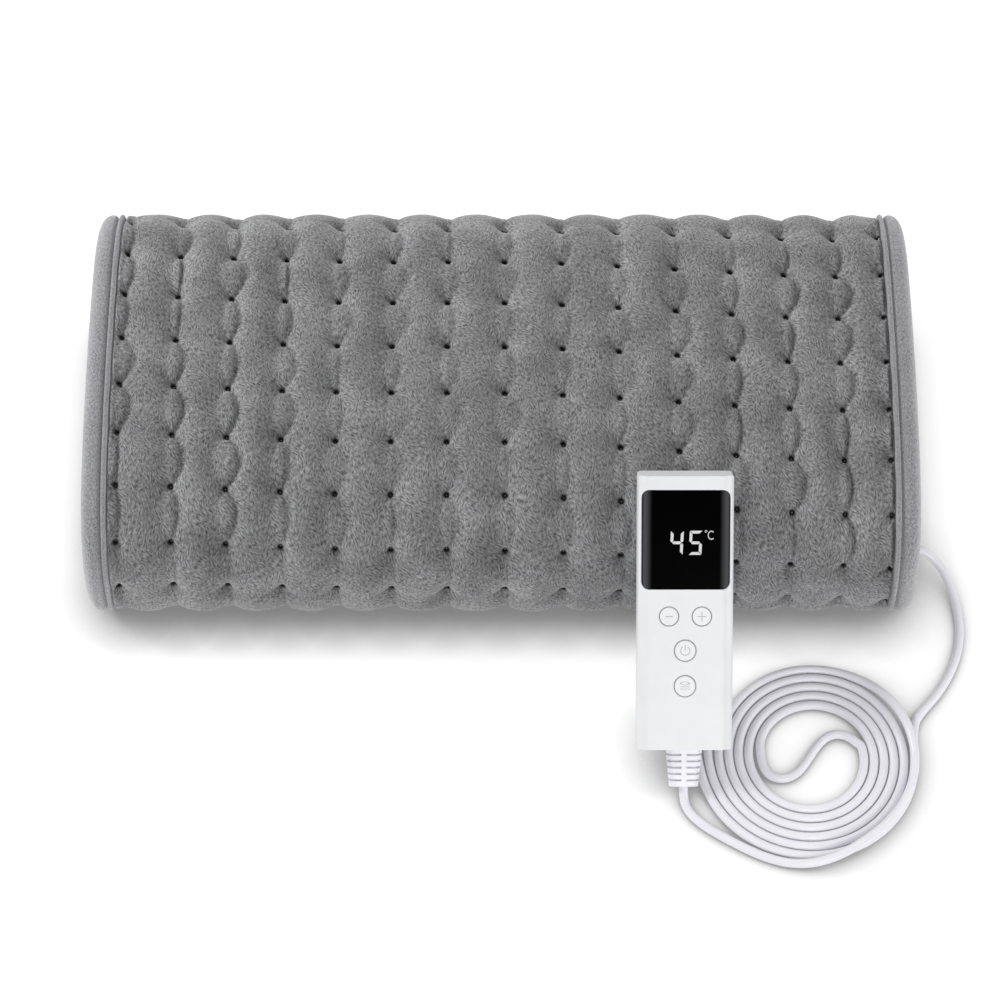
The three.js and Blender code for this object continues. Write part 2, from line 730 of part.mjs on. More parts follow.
// Keys: each has a cap, the plunger of its switch that it pushes, and the switch's fixed housing
const switchBottom = boardTop + seat;
const switchTop = switchBottom + switchHeight;
const stemBottom = switchTop + plungerHeight + seat;
const capTop = handsetThickness;
const flangeTop = handsetThickness - wall - seat;
for (const key of keys) {
  const cap = solid(bar(key.diameter, flangeTop - keyFlangeThickness, capTop, key.x, key.y, 28))
    .add(solid(bar(key.diameter + 2 * (keyGap + keyFlange), flangeTop - keyFlangeThickness, flangeTop,
      key.x, key.y, 28)));
  const body = flangeTop - keyFlangeThickness > stemBottom
    ? cap.add(solid(bar(keyStemDiameter, stemBottom, flangeTop, key.x, key.y, 12)))
    : cap;
  piece(`key_${key.name}`, geometryOf(body), caseWhite, handset);
  piece(`plunger_${key.name}`, bar(plungerDiameter, switchTop - plungerDepth, switchTop + plungerHeight,
    key.x, key.y, 12), partBlack, handset);
  const switchMiddle = switchBottom + switchHeight / 2;
  const housing = solid(box(switchSide, switchSide, switchHeight, key.x, key.y, switchMiddle))
    .subtract(solid(bar(plungerDiameter + 2 * plungerGap,
      switchTop - plungerDepth - keyTravel - seat, switchTop + overrun, key.x, key.y, 12)));
  piece(`switch_${key.name}`, geometryOf(housing), steel, handset);
}

// Parts under the board: film capacitor, thyristor and fuse, with their places as shares of the
// controller's length
const underBoard = boardBottom - seat;
const capacitorSize = { width: 17, length: 9, height: 5.4, share: 0.676 };
piece('film_capacitor', box(capacitorSize.width, capacitorSize.length, capacitorSize.height,
  0, capacitorSize.share * handsetLength, underBoard - capacitorSize.height / 2), capacitorYellow, handset);
const thyristorSize = { width: 10, length: 15, height: 4.4, share: 0.535 };
piece('power_thyristor', box(thyristorSize.width, thyristorSize.length, thyristorSize.height,
  0, thyristorSize.share * handsetLength, underBoard - thyristorSize.height / 2), partBlack, handset);
const fuseSize = { diameter: 5, length: 20, share: 0.366 };
piece('fuse', new THREE.CylinderGeometry(fuseSize.diameter / 2, fuseSize.diameter / 2, fuseSize.length, 12)
  .rotateZ(Math.PI / 2).translate(0, fuseSize.share * handsetLength, underBoard - fuseSize.diameter / 2), fuseGlass, handset);

// Screws, put in from the back
screwPlaces.forEach((place, k) => {
  const screw = solid(bar(screwHeadDiameter, 0, screwHeadHeight, place.x, place.y, 16))
    .add(solid(bar(screwDiameter, screwHeadHeight / 2, screwHeadHeight + screwLength, place.x, place.y, 10)));
  const recess = box(screwRecess, screwDiameter / 3, screwHeadHeight, place.x, place.y, 0);
  const acrossIt = box(screwDiameter / 3, screwRecess, screwHeadHeight, place.x, place.y, 0);
  const crossed = screw.subtract(solid(recess)).subtract(solid(acrossIt));
  piece(`case_screw_${k + 1}`, geometryOf(crossed), steel, handset);
});

// Strain relief with its neck through the shells, and the lead's tail under its clamp
const bootRoot = ribbedBoot({
  length: bootLength,
  rootWidth: bootRootWidth,
  tipWidth: bootTipWidth,
  rootThickness: bootRootThickness,
  tipThickness: bootTipThickness,
  ribs: bootRibs,
  grooveWidth: bootGrooveWidth,
  grooveDepth: bootGrooveDepth,
  web: bootWebWidth,
});
const bootOutside = geometryOf(bootRoot).rotateZ(-Math.PI / 2).translate(0, -seat, bootCentreZ);
const neckLength = wall + 3 * seat;
const bootNeck = box(bootNeckWidth, neckLength, bootNeckThickness, 0, neckLength / 2 - seat * 2, bootCentreZ);
const flangeY = wall + seat + bootFlangeLength / 2;
const bootFlange = box(bootFlangeWidth, bootFlangeLength, bootFlangeThickness, 0, flangeY, bootCentreZ);
const boot = solid(bootOutside).add(solid(bootNeck)).add(solid(bootFlange));
piece('handset_strain_relief', geometryOf(boot), leadWhite, handset);

const tailStart = wall + seat * 2 + bootFlangeLength;
const tailEnd = boardStart - seat;
const leadTail = new THREE.CylinderGeometry(leadDiameter / 2, leadDiameter / 2, tailEnd - tailStart, 12);
piece('lead_tail', leadTail.translate(0, (tailStart + tailEnd) / 2, bootCentreZ), leadWhite, handset);
const clampBottom = bootCentreZ + leadDiameter / 2 + seat;
piece('lead_clamp', box(bootNeckWidth, clampLength, clampHeight, 0, clampY, clampBottom + clampHeight / 2),
  partBlack, handset);

// Where the controller leans: its back touches the roll, and its strain relief clears the floor
const lean = THREE.MathUtils.degToRad(handsetLean);
const tipHeight = 7.5; // middle of the strain relief's tip above the floor
handset.rotation.x = lean;
const tipLocal = new THREE.Vector3(0, -bootLength - seat, bootCentreZ).applyAxisAngle(
  new THREE.Vector3(1, 0, 0), lean);
const handsetZ = tipHeight - tipLocal.z;
const backNormal = new THREE.Vector3(0, -Math.sin(lean), Math.cos(lean));
let highest = -Infinity; // how far out the roll reaches along the controller's normal
{
  const cover = pad.children[0].geometry.attributes.position;
  const point = new THREE.Vector3();
  for (let k = 0; k < cover.count; k += 1) {
    point.fromBufferAttribute(cover, k);
    if (Math.abs(point.x - handsetX) < handsetWidth / 2 + columnPitch) {
      highest = Math.max(highest, point.dot(backNormal));
    }
  }
}
const handsetY = (handsetZ * backNormal.z - highest - seat) / -backNormal.y;
handset.position.set(handsetX, handsetY, handsetZ);
handset.updateMatrixWorld(true);

// The lead: from the controller to the coil, the coil, and from the coil to the pad
const leadZ = leadDiameter / 2; // on the floor

function spot([x, y, z]) {
  return new THREE.Vector3(x, y, z);
}

// The coil: two strands side by side wind inwards and join in an S at its heart. The first comes from
// the controller; the second turns back, outside the coil, into the strand from the pad
const coilStep = (Math.PI * 2) / coilTurnSteps;
const halfTurn = coilTurnSteps / 2;
const sideLanes = 5; // half turns from the outermost radius to the heart
function coilSpot(angle, lanesIn, liftAngle, lift) {
  const beside = crossingPitch * Math.cos(liftAngle) * lift;
  const radius = coilOuterRadius - lanePitch * (angle / Math.PI + lanesIn) + beside;
  const height = leadZ + crossingPitch * Math.sin(liftAngle) * lift;
  return spot([coilX + radius * Math.cos(angle), coilY + radius * Math.sin(angle), height]);
}

function arcSpots(fromStep, toStep, spotAt) {
  const way = Math.sign(toStep - fromStep);
  const points = [];
  for (let step = fromStep; step !== toStep + way; step += way) {
    points.push(spotAt(step * coilStep));
  }
  return points;
}

// The first strand lies outside the strand from the pad, climbs onto it, crosses it and comes down
const climb = { from: -1.86, to: -1.0 };
const descent = { from: 0.5, to: 1.3 };
function firstSpot(angle) {
  const rise = THREE.MathUtils.smoothstep(angle, climb.from, climb.to);
  const fall = 1 - THREE.MathUtils.smoothstep(angle, descent.from, descent.to);
  return coilSpot(angle, 0, (rise * Math.PI) / 2, fall);
}

// Ends of the arcs, in steps from the coil's right side
const firstStart = -8;
const underEnd = 0;
const leftEnd = -halfTurn;
const heartStart = sideLanes * halfTurn - 1;
const heartEnd = (sideLanes - 1) * halfTurn + 1;

// The heart's S, as shares of the innermost turn's radius
const heartShares = [
  [-0.93, -0.25], [-0.76, -0.43], [-0.5, -0.47], [-0.24, -0.33], [-0.02, 0.02], [0.2, 0.36], [0.46, 0.5],
  [0.73, 0.44], [0.91, 0.25],
];
// The turn back, as shares of the coil's outer radius
const turnBackShares = [
  [-0.995, 0.12], [-1, 0.27], [-1.02, 0.42], [-1.05, 0.57], [-1.1, 0.71], [-1.21, 0.81], [-1.36, 0.8],
  [-1.46, 0.68], [-1.44, 0.53], [-1.33, 0.4], [-1.21, 0.28], [-1.13, 0.15],
];
function spots(shares, radius) {
  return shares.map(([x, y]) => spot([coilX + x * radius, coilY + y * radius, leadZ]));
}

// A route whose ends run on straight for one diameter
function withStraightEnds(points) {
  const first = points[0].clone().sub(points[1]).setLength(leadDiameter).add(points[0]);
  const end = points.length - 1;
  const last = points[end].clone().sub(points[end - 1]).setLength(leadDiameter).add(points[end]);
  return [first, ...points, last];
}

const coilPoints = withStraightEnds([
  ...arcSpots(firstStart, heartStart, firstSpot),
  ...spots(heartShares, coilOuterRadius - lanePitch * sideLanes),
  ...arcSpots(heartEnd, leftEnd, (angle) => coilSpot(angle, 1, 0, 0)),
  ...spots(turnBackShares, coilOuterRadius),
  ...arcSpots(leftEnd, underEnd, (angle) => coilSpot(angle, 0, 0, 0)),
]);
piece('lead_coil', tube(coilPoints, leadDiameter / 2, coilSides), leadWhite, assembly);

// The least gap between two stretches of a route that are further apart along it than a bend
function leastGap(points) {
  const checks = 6; // places on each step
  const fine = [];
  let along = 0;
  points.slice(1).forEach((point, k) => {
    const step = point.distanceTo(points[k]);
    for (let j = 0; j < checks; j += 1) {
      fine.push({ along: along + (step * j) / checks, point: points[k].clone().lerp(point, j / checks) });
    }
    along += step;
  });
  let least = Infinity;
  fine.forEach((a, k) => {
    for (const b of fine.slice(k + 1)) {
      if (b.along - a.along > leadDiameter * Math.PI) {
        least = Math.min(least, a.point.distanceTo(b.point));
      }
    }
  });
  return { gap: least - leadDiameter, length: along };
}

const coilMeasure = leastGap(coilPoints);
console.log(`lead_coil ${coilMeasure.length.toFixed(0)} mm, least gap to itself ${coilMeasure.gap.toFixed(2)} mm`);

// The two stretches that aren't coiled
const handsetRoute = [
  [93.6, -210.2, 2.8], [95.6, -214.6, 2.4], [99.6, -219.4, 2.4], [105.6, -224.3, 2.4],
  [113.1, -229.1, 2.4],
];
const padRoute = [
  [228, -73, 11.6], [233.4, -79, 8.4], [237, -87.5, 5], [239.6, -98, 3],
  [240.6, -112, 2.4], [238.2, -125.5, 2.4], [232.8, -138.5, 2.4], [226, -149, 2.4], [218.9, -157, 2.4],
  [214.6, -162.6, 2.4], [212.7, -168.8, 2.4],
];

function stretch(name, points) {
  const route = new THREE.CatmullRomCurve3(points, false, 'centripetal');
  const section = new THREE.Shape();
  section.absarc(0, 0, leadDiameter / 2, 0, Math.PI * 2);
  const steps = Math.round(route.getLength() / (2 * leadDiameter));
  const outline = new THREE.Shape(section.getSpacedPoints(leadSides).slice(0, -1));
  const geometry = new THREE.ExtrudeGeometry(outline, { steps, bevelEnabled: false, extrudePath: route });
  piece(name, geometry, leadWhite, assembly);
  console.log(`${name} ${route.getLength().toFixed(0)} mm`);
}

function beyond(points, from, to, gap) {
  return points[from].clone().add(points[from].clone().sub(points[to]).setLength(gap));
}

const bootTip = -bootLength - seat;
const leadTips = [seat, seat + leadDiameter].map((gap) => (
  new THREE.Vector3(0, bootTip - gap, bootCentreZ).applyMatrix4(handset.matrixWorld)));
stretch('lead_to_handset', [
  ...leadTips,
  ...handsetRoute.map(spot),
  beyond(coilPoints, 0, 1, seat + leadDiameter),
  beyond(coilPoints, 0, 1, seat),
]);

const lastSpot = coilPoints.length - 1;
const glandTip = padWidth / 2 + glandCollarLength + 2 * seat;
stretch('lead_to_pad', [
  beyond(coilPoints, lastSpot, lastSpot - 1, seat),
  beyond(coilPoints, lastSpot, lastSpot - 1, seat + leadDiameter),
  ...padRoute.map(spot).reverse(),
  glandPlace.clone().setX(glandTip + seat + leadDiameter),
  glandPlace.clone().setX(glandTip + seat),
]);

// The part stands with its origin under the middle of the pad and the controller
const leadPieces = ['lead_to_handset', 'lead_coil', 'lead_to_pad', 'pad_gland'];
const bounds = new THREE.Box3();
pieces.filter((mesh) => !leadPieces.includes(mesh.name)).forEach((mesh) => bounds.expandByObject(mesh, true));
assembly.position.y = -(bounds.min.y + bounds.max.y) / 2;
assembly.updateMatrixWorld(true);
console.log(`middle moved by ${assembly.position.y.toFixed(2)} mm`);

export default assembly;
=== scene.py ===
import bisect
import math
import bmesh
import bpy
import numpy as np
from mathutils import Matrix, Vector, noise


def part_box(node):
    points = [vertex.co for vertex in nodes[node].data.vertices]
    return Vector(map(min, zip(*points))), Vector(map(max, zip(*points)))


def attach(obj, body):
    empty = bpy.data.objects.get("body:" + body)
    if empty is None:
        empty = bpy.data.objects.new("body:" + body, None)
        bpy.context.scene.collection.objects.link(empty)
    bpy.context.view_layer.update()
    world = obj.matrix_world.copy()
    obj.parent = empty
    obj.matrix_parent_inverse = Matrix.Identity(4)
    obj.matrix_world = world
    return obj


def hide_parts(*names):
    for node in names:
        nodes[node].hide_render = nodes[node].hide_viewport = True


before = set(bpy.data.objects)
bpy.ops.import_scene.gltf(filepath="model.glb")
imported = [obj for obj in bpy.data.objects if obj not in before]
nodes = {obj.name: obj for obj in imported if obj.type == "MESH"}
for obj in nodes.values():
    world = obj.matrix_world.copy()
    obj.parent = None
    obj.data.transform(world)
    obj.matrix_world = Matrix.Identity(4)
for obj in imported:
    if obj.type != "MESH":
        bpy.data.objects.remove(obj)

scene = bpy.context.scene
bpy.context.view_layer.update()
mainBody = "pad_and_controller"
mm = 0.001
frameShift = 47.32  # how far the rolled pad lies behind the middle of the whole, in mm

# the camera stands where the photograph was taken from
view = {
    "target": (0, frameShift * mm, 0),
    "distance": 2.09,
    "elevation": 60,
    "lens": 139.68,
    "shift": (-0.001, -0.0506),
}


def makeCamera():
    data = bpy.data.cameras.new("camera")
    data.lens = view["lens"]
    data.sensor_width = 36
    data.shift_x, data.shift_y = view["shift"]
    data.clip_end = 20
    camera = bpy.data.objects.new("camera", data)
    scene.collection.objects.link(camera)
    tilt = math.radians(view["elevation"])
    away = Vector((0, -math.cos(tilt), math.sin(tilt))) * view["distance"]
    camera.location = Vector(view["target"]) + away
    camera.rotation_euler = (math.radians(90 - view["elevation"]), 0, 0)
    scene.camera = camera


makeCamera()
print("camera placed")


def between(value, low, high):
    # smooth step from 0 at low to 1 at high
    share = min(max((value - low) / (high - low), 0), 1)
    return share * share * (3 - 2 * share)


# colours and nodes

def toLinear(channel):
    return channel / 12.92 if channel <= 0.04045 else ((channel + 0.055) / 1.055) ** 2.4


def colour(text):
    return tuple(toLinear(int(text[k:k + 2], 16) / 255) for k in (0, 2, 4)) + (1,)


def setInputs(tree, node, inputs):
    # an input may be a value, a socket, or a node that stands for its first output
    for name, value in inputs.items():
        socket = node.inputs[name]
        if isinstance(value, bpy.types.Node):
            value = value.outputs[0]
        if isinstance(value, bpy.types.NodeSocket):
            tree.links.new(value, socket)
        else:
            socket.default_value = value


def addNode(tree, kind, settings=None, inputs=None):
    node = tree.nodes.new("ShaderNode" + kind)
    for name, value in (settings or {}).items():
        setattr(node, name, value)
    setInputs(tree, node, inputs or {})
    return node


def newMaterial(name):
    material = bpy.data.materials.new(name)
    material.use_nodes = True
    tree = material.node_tree
    tree.nodes.clear()
    shader = addNode(tree, "BsdfPrincipled")
    addNode(tree, "OutputMaterial", None, {"Surface": shader})
    return material, tree, shader


# Moulded plastic: slight clouds in its colour, and a skin with a grain that is given in mm
def moulded(name, base, roughness, grain=0.35, bump=0.04, mottle=0.03, metallic=0):
    material, tree, shader = newMaterial(name)
    place = addNode(tree, "TexCoord").outputs["Object"]
    cloud = addNode(tree, "TexNoise", None, {"Vector": place, "Scale": 60.0, "Detail": 3.0})
    skin = addNode(tree, "TexNoise", None, {
        "Vector": place, "Scale": 1 / (grain * mm), "Detail": 2.0})
    middle = {"From Min": 0.3, "From Max": 0.7}
    tint = addNode(tree, "MapRange", None, {
        "Value": cloud, **middle, "To Min": 1 - mottle, "To Max": 1.0})
    mixed = addNode(tree, "VectorMath", {"operation": "SCALE"}, {
        0: colour(base)[:3], "Scale": tint})
    rough = addNode(tree, "MapRange", None, {
        "Value": skin, **middle, "To Min": roughness - 0.04, "To Max": roughness + 0.04})
    raised = addNode(tree, "Bump", None, {"Height": skin, "Strength": bump, "Distance": 0.05 * mm})
    setInputs(tree, shader, {
        "Base Color": mixed, "Roughness": rough, "Normal": raised, "Metallic": metallic})
    return material


def paint(piece, material):
    piece.data.materials.clear()
    piece.data.materials.append(material)


# objects

def dress(piece, material, replaced=(), body=mainBody):
    paint(piece, material)
    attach(piece, body)
    if replaced:
        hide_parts(*replaced)


def meshPiece(name, bm, smooth=True):
    mesh = bpy.data.meshes.new(name)
    bm.to_mesh(mesh)
    bm.free()
    mesh.update()
    if smooth:
        mesh.shade_smooth()
    piece = bpy.data.objects.new(name, mesh)
    scene.collection.objects.link(piece)
    return piece


# the pad and the line that its cover's base follows when it is rolled
pad = {
    "width": 430,
    "hem": 14,
    "columnPitch": 28.4,
    "rowPitch": 27.5,
    "rowStart": 6.7,  # the first row of tufts, along the pad
    "length": 796,
    "crest": 9.0,  # how far a rib stands above the base of the cover
    "rollDepth": 220,
    "rollHeight": 100,
    "roundedEnd": 10,  # over which the cover comes down at the ends of its length
}
# points that the cover's base line passes, as shares of the roll's depth and height
rollShares = [
    (0.355, 0.09), (0.18, 0.09), (0, 0.09), (-0.2, 0.09), (-0.33, 0.09), (-0.41, 0.12),
    (-0.452, 0.21), (-0.464, 0.34), (-0.46, 0.48), (-0.437, 0.63), (-0.385, 0.755), (-0.3, 0.84),
    (-0.17, 0.893), (0, 0.91), (0.17, 0.893), (0.305, 0.85), (0.395, 0.765), (0.445, 0.65),
    (0.459, 0.52), (0.44, 0.41), (0.385, 0.33), (0.3, 0.305), (0.15, 0.3), (-0.1, 0.3),
    (-0.265, 0.303), (-0.322, 0.338), (-0.35, 0.4), (-0.356, 0.47), (-0.342, 0.54), (-0.305, 0.598),
    (-0.245, 0.638), (-0.12, 0.672), (0, 0.683), (0.12, 0.677), (0.24, 0.65), (0.34, 0.604),
]


def splinePoint(points, k, share):
    # centripetal spline through four neighbours
    p1, p2 = points[k], points[k + 1]
    p0 = points[k - 1] if k > 0 else p1 * 2 - p2
    p3 = points[k + 2] if k + 2 < len(points) else p2 * 2 - p1
    d0, d1, d2 = (math.sqrt((b - a).length) for a, b in ((p0, p1), (p1, p2), (p2, p3)))
    t1 = ((p1 - p0) / d0 - (p2 - p0) / (d0 + d1) + (p2 - p1) / d1) * d1
    t2 = ((p2 - p1) / d1 - (p3 - p1) / (d1 + d2) + (p3 - p2) / d2) * d1
    a = p1
    c = p2 * 3 - p1 * 3 - t1 * 2 - t2
    d = p1 * 2 - p2 * 2 + t1 + t2
    return a + t1 * share + c * share ** 2 + d * share ** 3


def traceRoll():
    # the base line as (length along it, point)
    points = [Vector((y * pad["rollDepth"], z * pad["rollHeight"])) for y, z in rollShares]
    steps = 40  # between two of the points
    trace = []
    along = 0
    for k in range(len(points) - 1):
        for j in range(steps + (k == len(points) - 2)):
            point = splinePoint(points, k, j / steps)
            point.y = max(point.y, pad["crest"])
            if trace:
                along += (point - trace[-1][1]).length
            trace.append((along, point))
    return trace


trace = traceRoll()
traced = [along for along, point in trace]


def linePoint(along):
    k = min(max(bisect.bisect_left(traced, along), 1), len(trace) - 1)
    (start, a), (end, b) = trace[k - 1], trace[k]
    return a.lerp(b, (along - start) / max(end - start, 1e-9))


def lineFrame(along, reach=5):
    # a point of the base line and the way outwards there
    low = linePoint(max(along - reach, 0))
    high = linePoint(min(along + reach, pad["length"]))
    way = (high - low).normalized()
    return linePoint(along), Vector((-way.y, way.x))


frames = {}


def padPlace(across, along, out):
    # the place of a point that lies so far across and along the pad and out from its base
    key = round(along, 3)
    if key not in frames:
        frames[key] = lineFrame(along)
    point, outward = frames[key]
    spot = point + outward * out
    return Vector((across, spot.x + frameShift, max(spot.y, 0))) * mm


print("roll traced,", round(trace[-1][0], 1), "mm")


def spread(*stops):
    # places from a list of (place, steps to the next)
    places = []
    for (place, steps), (following, *rest) in zip(stops, stops[1:]):
        places += [place + (following - place) * j / steps for j in range(steps)]
    return places + [following]


def rowAt(row):
    return pad["rowStart"] + row * pad["rowPitch"]


def rowOf(along):
    return (along - pad["rowStart"]) / pad["rowPitch"]


# the tufts' columns, across the pad: not sewn quite evenly
tuftColumns = [-196.9, -168.8, -140.8, -112.8, -84.8, -56.4, -27.8, 2, 32, 61.3, 91.4, 120.4,
               148.6, 175.8, 199.4]

quilt = {
    "fineRows": (4, 18),  # between them the cloth is seen closely, and simulated
    "steps": 18,  # of the finished cloth between two tufts
    "gather": 0.5,  # how much closer its lines lie at the tufts
    "base": 0.6,  # the height of the cover at its ends
    "thinnest": 0.3,
    "tuftOut": 2.4,  # how far a tuft's bottom lies from the base
    "saddle": 4.6,  # the creases between two tufts of a column
    "saddleTurned": 1.5,  # how much higher they are where the roll turns out of sight
    "lensRise": 2.4,  # the small puff between two tufts, above its creases
    "lensLeast": 0.35,  # the share of it that a calm place keeps
    "lensTurned": 0.85,  # the share that is lost where the roll turns out of sight
    "lensLeft": 0.6,  # the share that its soft left side has
    "crestDip": 0.4,  # how much lower a rib is beside the tufts
    "calm": 2.4,  # how much the creases rise where the cover lies calm
    "calmTuft": 0.6,  # the share of that for the tufts
    "bowRight": 5.4,  # how far a column's creases bow out between two tufts
    "bowLeft": 4.2,
    "bowVaries": 1.1,  # how much that differs from puff to puff
    "bowLeast": 0.25,
    "bowTurned": 0.7,  # the share of bow and crease that is lost where the roll turns
    "swellPowers": {"bow": 0.8, "saddle": 0.7, "lens": 0.5, "fold": 0.4},
    "ribRight": 0.7,  # powers that make a rib's side steep right of a column and soft left of it
    "ribLeft": 1.0,
    "seamOut": 8.4,  # how high the cover stands where it meets the hem
    "seamSaddle": 1.6,  # how much the hem draws up the creases of the column beside it
    "seamLens": 0.5,  # the share of a puff's rise that is left there
    "seamBow": 0.2,
    "edge": 1.6,  # over which it turns in to the seam
    "edgeDrop": 0.3,
    "pitDepth": 1.5,
    "pitRadius": 1.2,
    "dimpleDepth": 1.6,
    "dimpleRadius": 4.6,
    "creaseDepth": 2.2,
    "creaseWidth": 1.2,
    "creaseShare": (0.2, 0.12),  # taken off a crease where the cover lies calm, and its least
    # painted shade: how much lighter or darker the cover's slopes are made, and how much darker its
    # creases
    "slopeTone": 0.3,
    "slopeLimit": 1.3,  # how soon a steeper slope makes no more difference
    "foldTone": 0.5,
    "holeShares": (0.036, 0.084),  # of the way between two tufts: over which the painted shade in the needle hole fades out
    "threadShares": (0.006, 0.02),
}
# where the ribs stand out most, in mm across the pad and along it
standOut = {
    "sides": (60, 165),
    "sidesShare": 0.9,
    "back": (385, 425),
    "front": (-262, -205),
    "elsewhere": 0.24,
    "patchScale": 0.016,
    "patchShare": 0.5,
    "least": 0.1,
}
# where the roll turns out of sight, along the pad
turnAway = {"back": (385, 420), "front": (-250, -215)}
coverHalf = pad["width"] / 2 - pad["hem"]
lastColumn = len(tuftColumns) - 1


def columnAt(across):
    # place across the pad, counted in columns
    if across <= tuftColumns[0]:
        return (across - tuftColumns[0]) / pad["columnPitch"]
    for k, (left, right) in enumerate(zip(tuftColumns, tuftColumns[1:])):
        if across <= right:
            return k + (across - left) / (right - left)
    return lastColumn + (across - tuftColumns[-1]) / pad["columnPitch"]


def placeOfColumn(column):
    k = min(int(column), lastColumn - 1)
    return tuftColumns[k] + (tuftColumns[k + 1] - tuftColumns[k]) * (column - k)


def spreadGathered(start, pitch, count):
    # even steps between the tufts, drawn together at them
    steps, full = quilt["steps"], 2 * math.pi
    shares = [j / steps - quilt["gather"] * math.sin(full * j / steps) / full for j in range(steps)]
    return [start + pitch * (k + share) for k in range(count) for share in shares]


acrossPlaces = spread((-coverHalf, 4), (tuftColumns[0], 0))[:-1]
acrossPlaces += [placeOfColumn(place) for place in spreadGathered(0, 1, lastColumn)]
acrossPlaces += spread((tuftColumns[-1], 2), (coverHalf, 0))
firstFine, lastFine = quilt["fineRows"]
alongPlaces = spread((0, 2), (rowAt(0), 24), (rowAt(firstFine), 0))[:-1]
alongPlaces += spreadGathered(rowAt(firstFine), pad["rowPitch"], lastFine - firstFine)
alongPlaces += spread((rowAt(lastFine), 60), (pad["length"], 0))


def relief(across, along):
    # how strongly the ribs stand out: most near the hems and where the roll turns down
    sides = between(abs(across), *standOut["sides"]) * standOut["sidesShare"]
    back = between(along, *standOut["back"])
    front = between(-along, *standOut["front"])
    patch = noise.noise(Vector((across, along, 40)) * standOut["patchScale"])
    calm = standOut["elsewhere"]
    strong = calm + (1 - calm) * max(sides, back, front) + patch * standOut["patchShare"]
    return min(max(strong, standOut["least"]), 1)


def puff(across, along):
    # height of the cover above its base: ribs between the columns, and between two tufts of a
    # column a small puff with a sharp crease round its right side and a soft one on its left
    row = rowOf(along)
    nearest = min(max(round(columnAt(across)), 0), lastColumn)
    beside = across - tuftColumns[nearest]
    right = beside > 0
    off = abs(beside)
    swell = math.sin((row - math.floor(row)) * math.pi)
    strong = relief(across, along)
    turned = max(between(along, *turnAway["back"]), between(-along, *turnAway["front"]))
    seed = Vector((nearest * 7.3, math.floor(row) * 3.1, 4.5 if right else 0))
    varied = max(1 + noise.noise(seed) * quilt["bowVaries"], quilt["bowLeast"])
    swells = {part: swell ** power for part, power in quilt["swellPowers"].items()}
    bow = quilt["bowRight" if right else "bowLeft"] * varied * swells["bow"]
    bow *= 1 - turned * quilt["bowTurned"]
    calm = (1 - strong) * quilt["calm"]
    tuft = quilt["tuftOut"] + calm * quilt["calmTuft"]
    saddle = quilt["saddle"] + calm + quilt["saddleTurned"] * turned
    low = tuft + (saddle - tuft) * swells["saddle"]
    least = quilt["lensLeast"]
    rise = quilt["lensRise"] * (least + (1 - least) * strong) * swells["lens"]
    rise *= 1 - turned * quilt["lensTurned"]
    top = pad["crest"] - quilt["crestDip"] * (1 - swell) * strong
    half = pad["columnPitch"] / 2
    if nearest in (0, lastColumn):
        # the cover is drawn up to the hem's piping here
        low, rise = low + quilt["seamSaddle"], rise * quilt["seamLens"]
        if (nearest == 0) != right:
            half, top = coverHalf - abs(tuftColumns[nearest]), quilt["seamOut"]
            bow *= quilt["seamBow"]
    valley = low if right else low + rise * quilt["lensLeft"]
    power = quilt["ribRight" if right else "ribLeft"]
    if off >= bow:
        rib = math.sin(min((off - bow) / (half - bow), 1) * math.pi / 2) ** power
        high = valley + (top - valley) * rib
    else:
        high = valley + (low + rise - valley) * (1 - (off / bow) ** 2) ** power
    fold = 0
    if right:
        fold = math.exp(-((off - bow) / quilt["creaseWidth"]) ** 2) * swells["fold"]
        less, least = quilt["creaseShare"]
        fold *= max(strong - less, least) * (1 - turned * quilt["bowTurned"])
        high -= quilt["creaseDepth"] * fold
    edge = max(min((coverHalf - abs(across)) / quilt["edge"], 1), 0)
    end = max(min(min(along, pad["length"] - along) / pad["roundedEnd"], 1), 0)
    high = quilt["base"] + (high - quilt["base"]) * math.sqrt(end)
    return high * (1 - quilt["edgeDrop"] + quilt["edgeDrop"] * math.sqrt(edge)), fold


rowDrift = {
    "left": 4.8,  # mm along the pad
    "leftReach": (60, 200),  # where across it that starts and is full
    "right": -10,
    "rightReach": (-20, 200),
    "starts": (40, 120),  # along the pad
    "ends": (-760, -680),
}


def drift(across, along):
    # the rows of tufts aren't quite square to the hems
    shift = rowDrift["left"] * between(-across, *rowDrift["leftReach"])
    shift += rowDrift["right"] * between(across, *rowDrift["rightReach"])
    return shift * between(along, *rowDrift["starts"]) * between(-along, *rowDrift["ends"])


def pit(across, along):
    # depth of the needle hole at a tuft and of the dimple round it
    column, row = columnAt(across), rowOf(along)
    far = math.hypot((column - round(column)) * pad["columnPitch"],
                     (row - round(row)) * pad["rowPitch"])
    hole = quilt["pitDepth"] * math.exp(-(far / quilt["pitRadius"]) ** 2)
    return hole + quilt["dimpleDepth"] * math.exp(-(far / quilt["dimpleRadius"]) ** 2)


def gridOf(places, rows):
    bm = bmesh.new()
    bmesh.ops.create_grid(bm, x_segments=len(places) - 1, y_segments=len(rows) - 1, size=1)
    for vert in bm.verts:
        vert.co.x = round((vert.co.x + 1) / 2 * (len(places) - 1))
        vert.co.y = round((vert.co.y + 1) / 2 * (len(rows) - 1))
    return bm


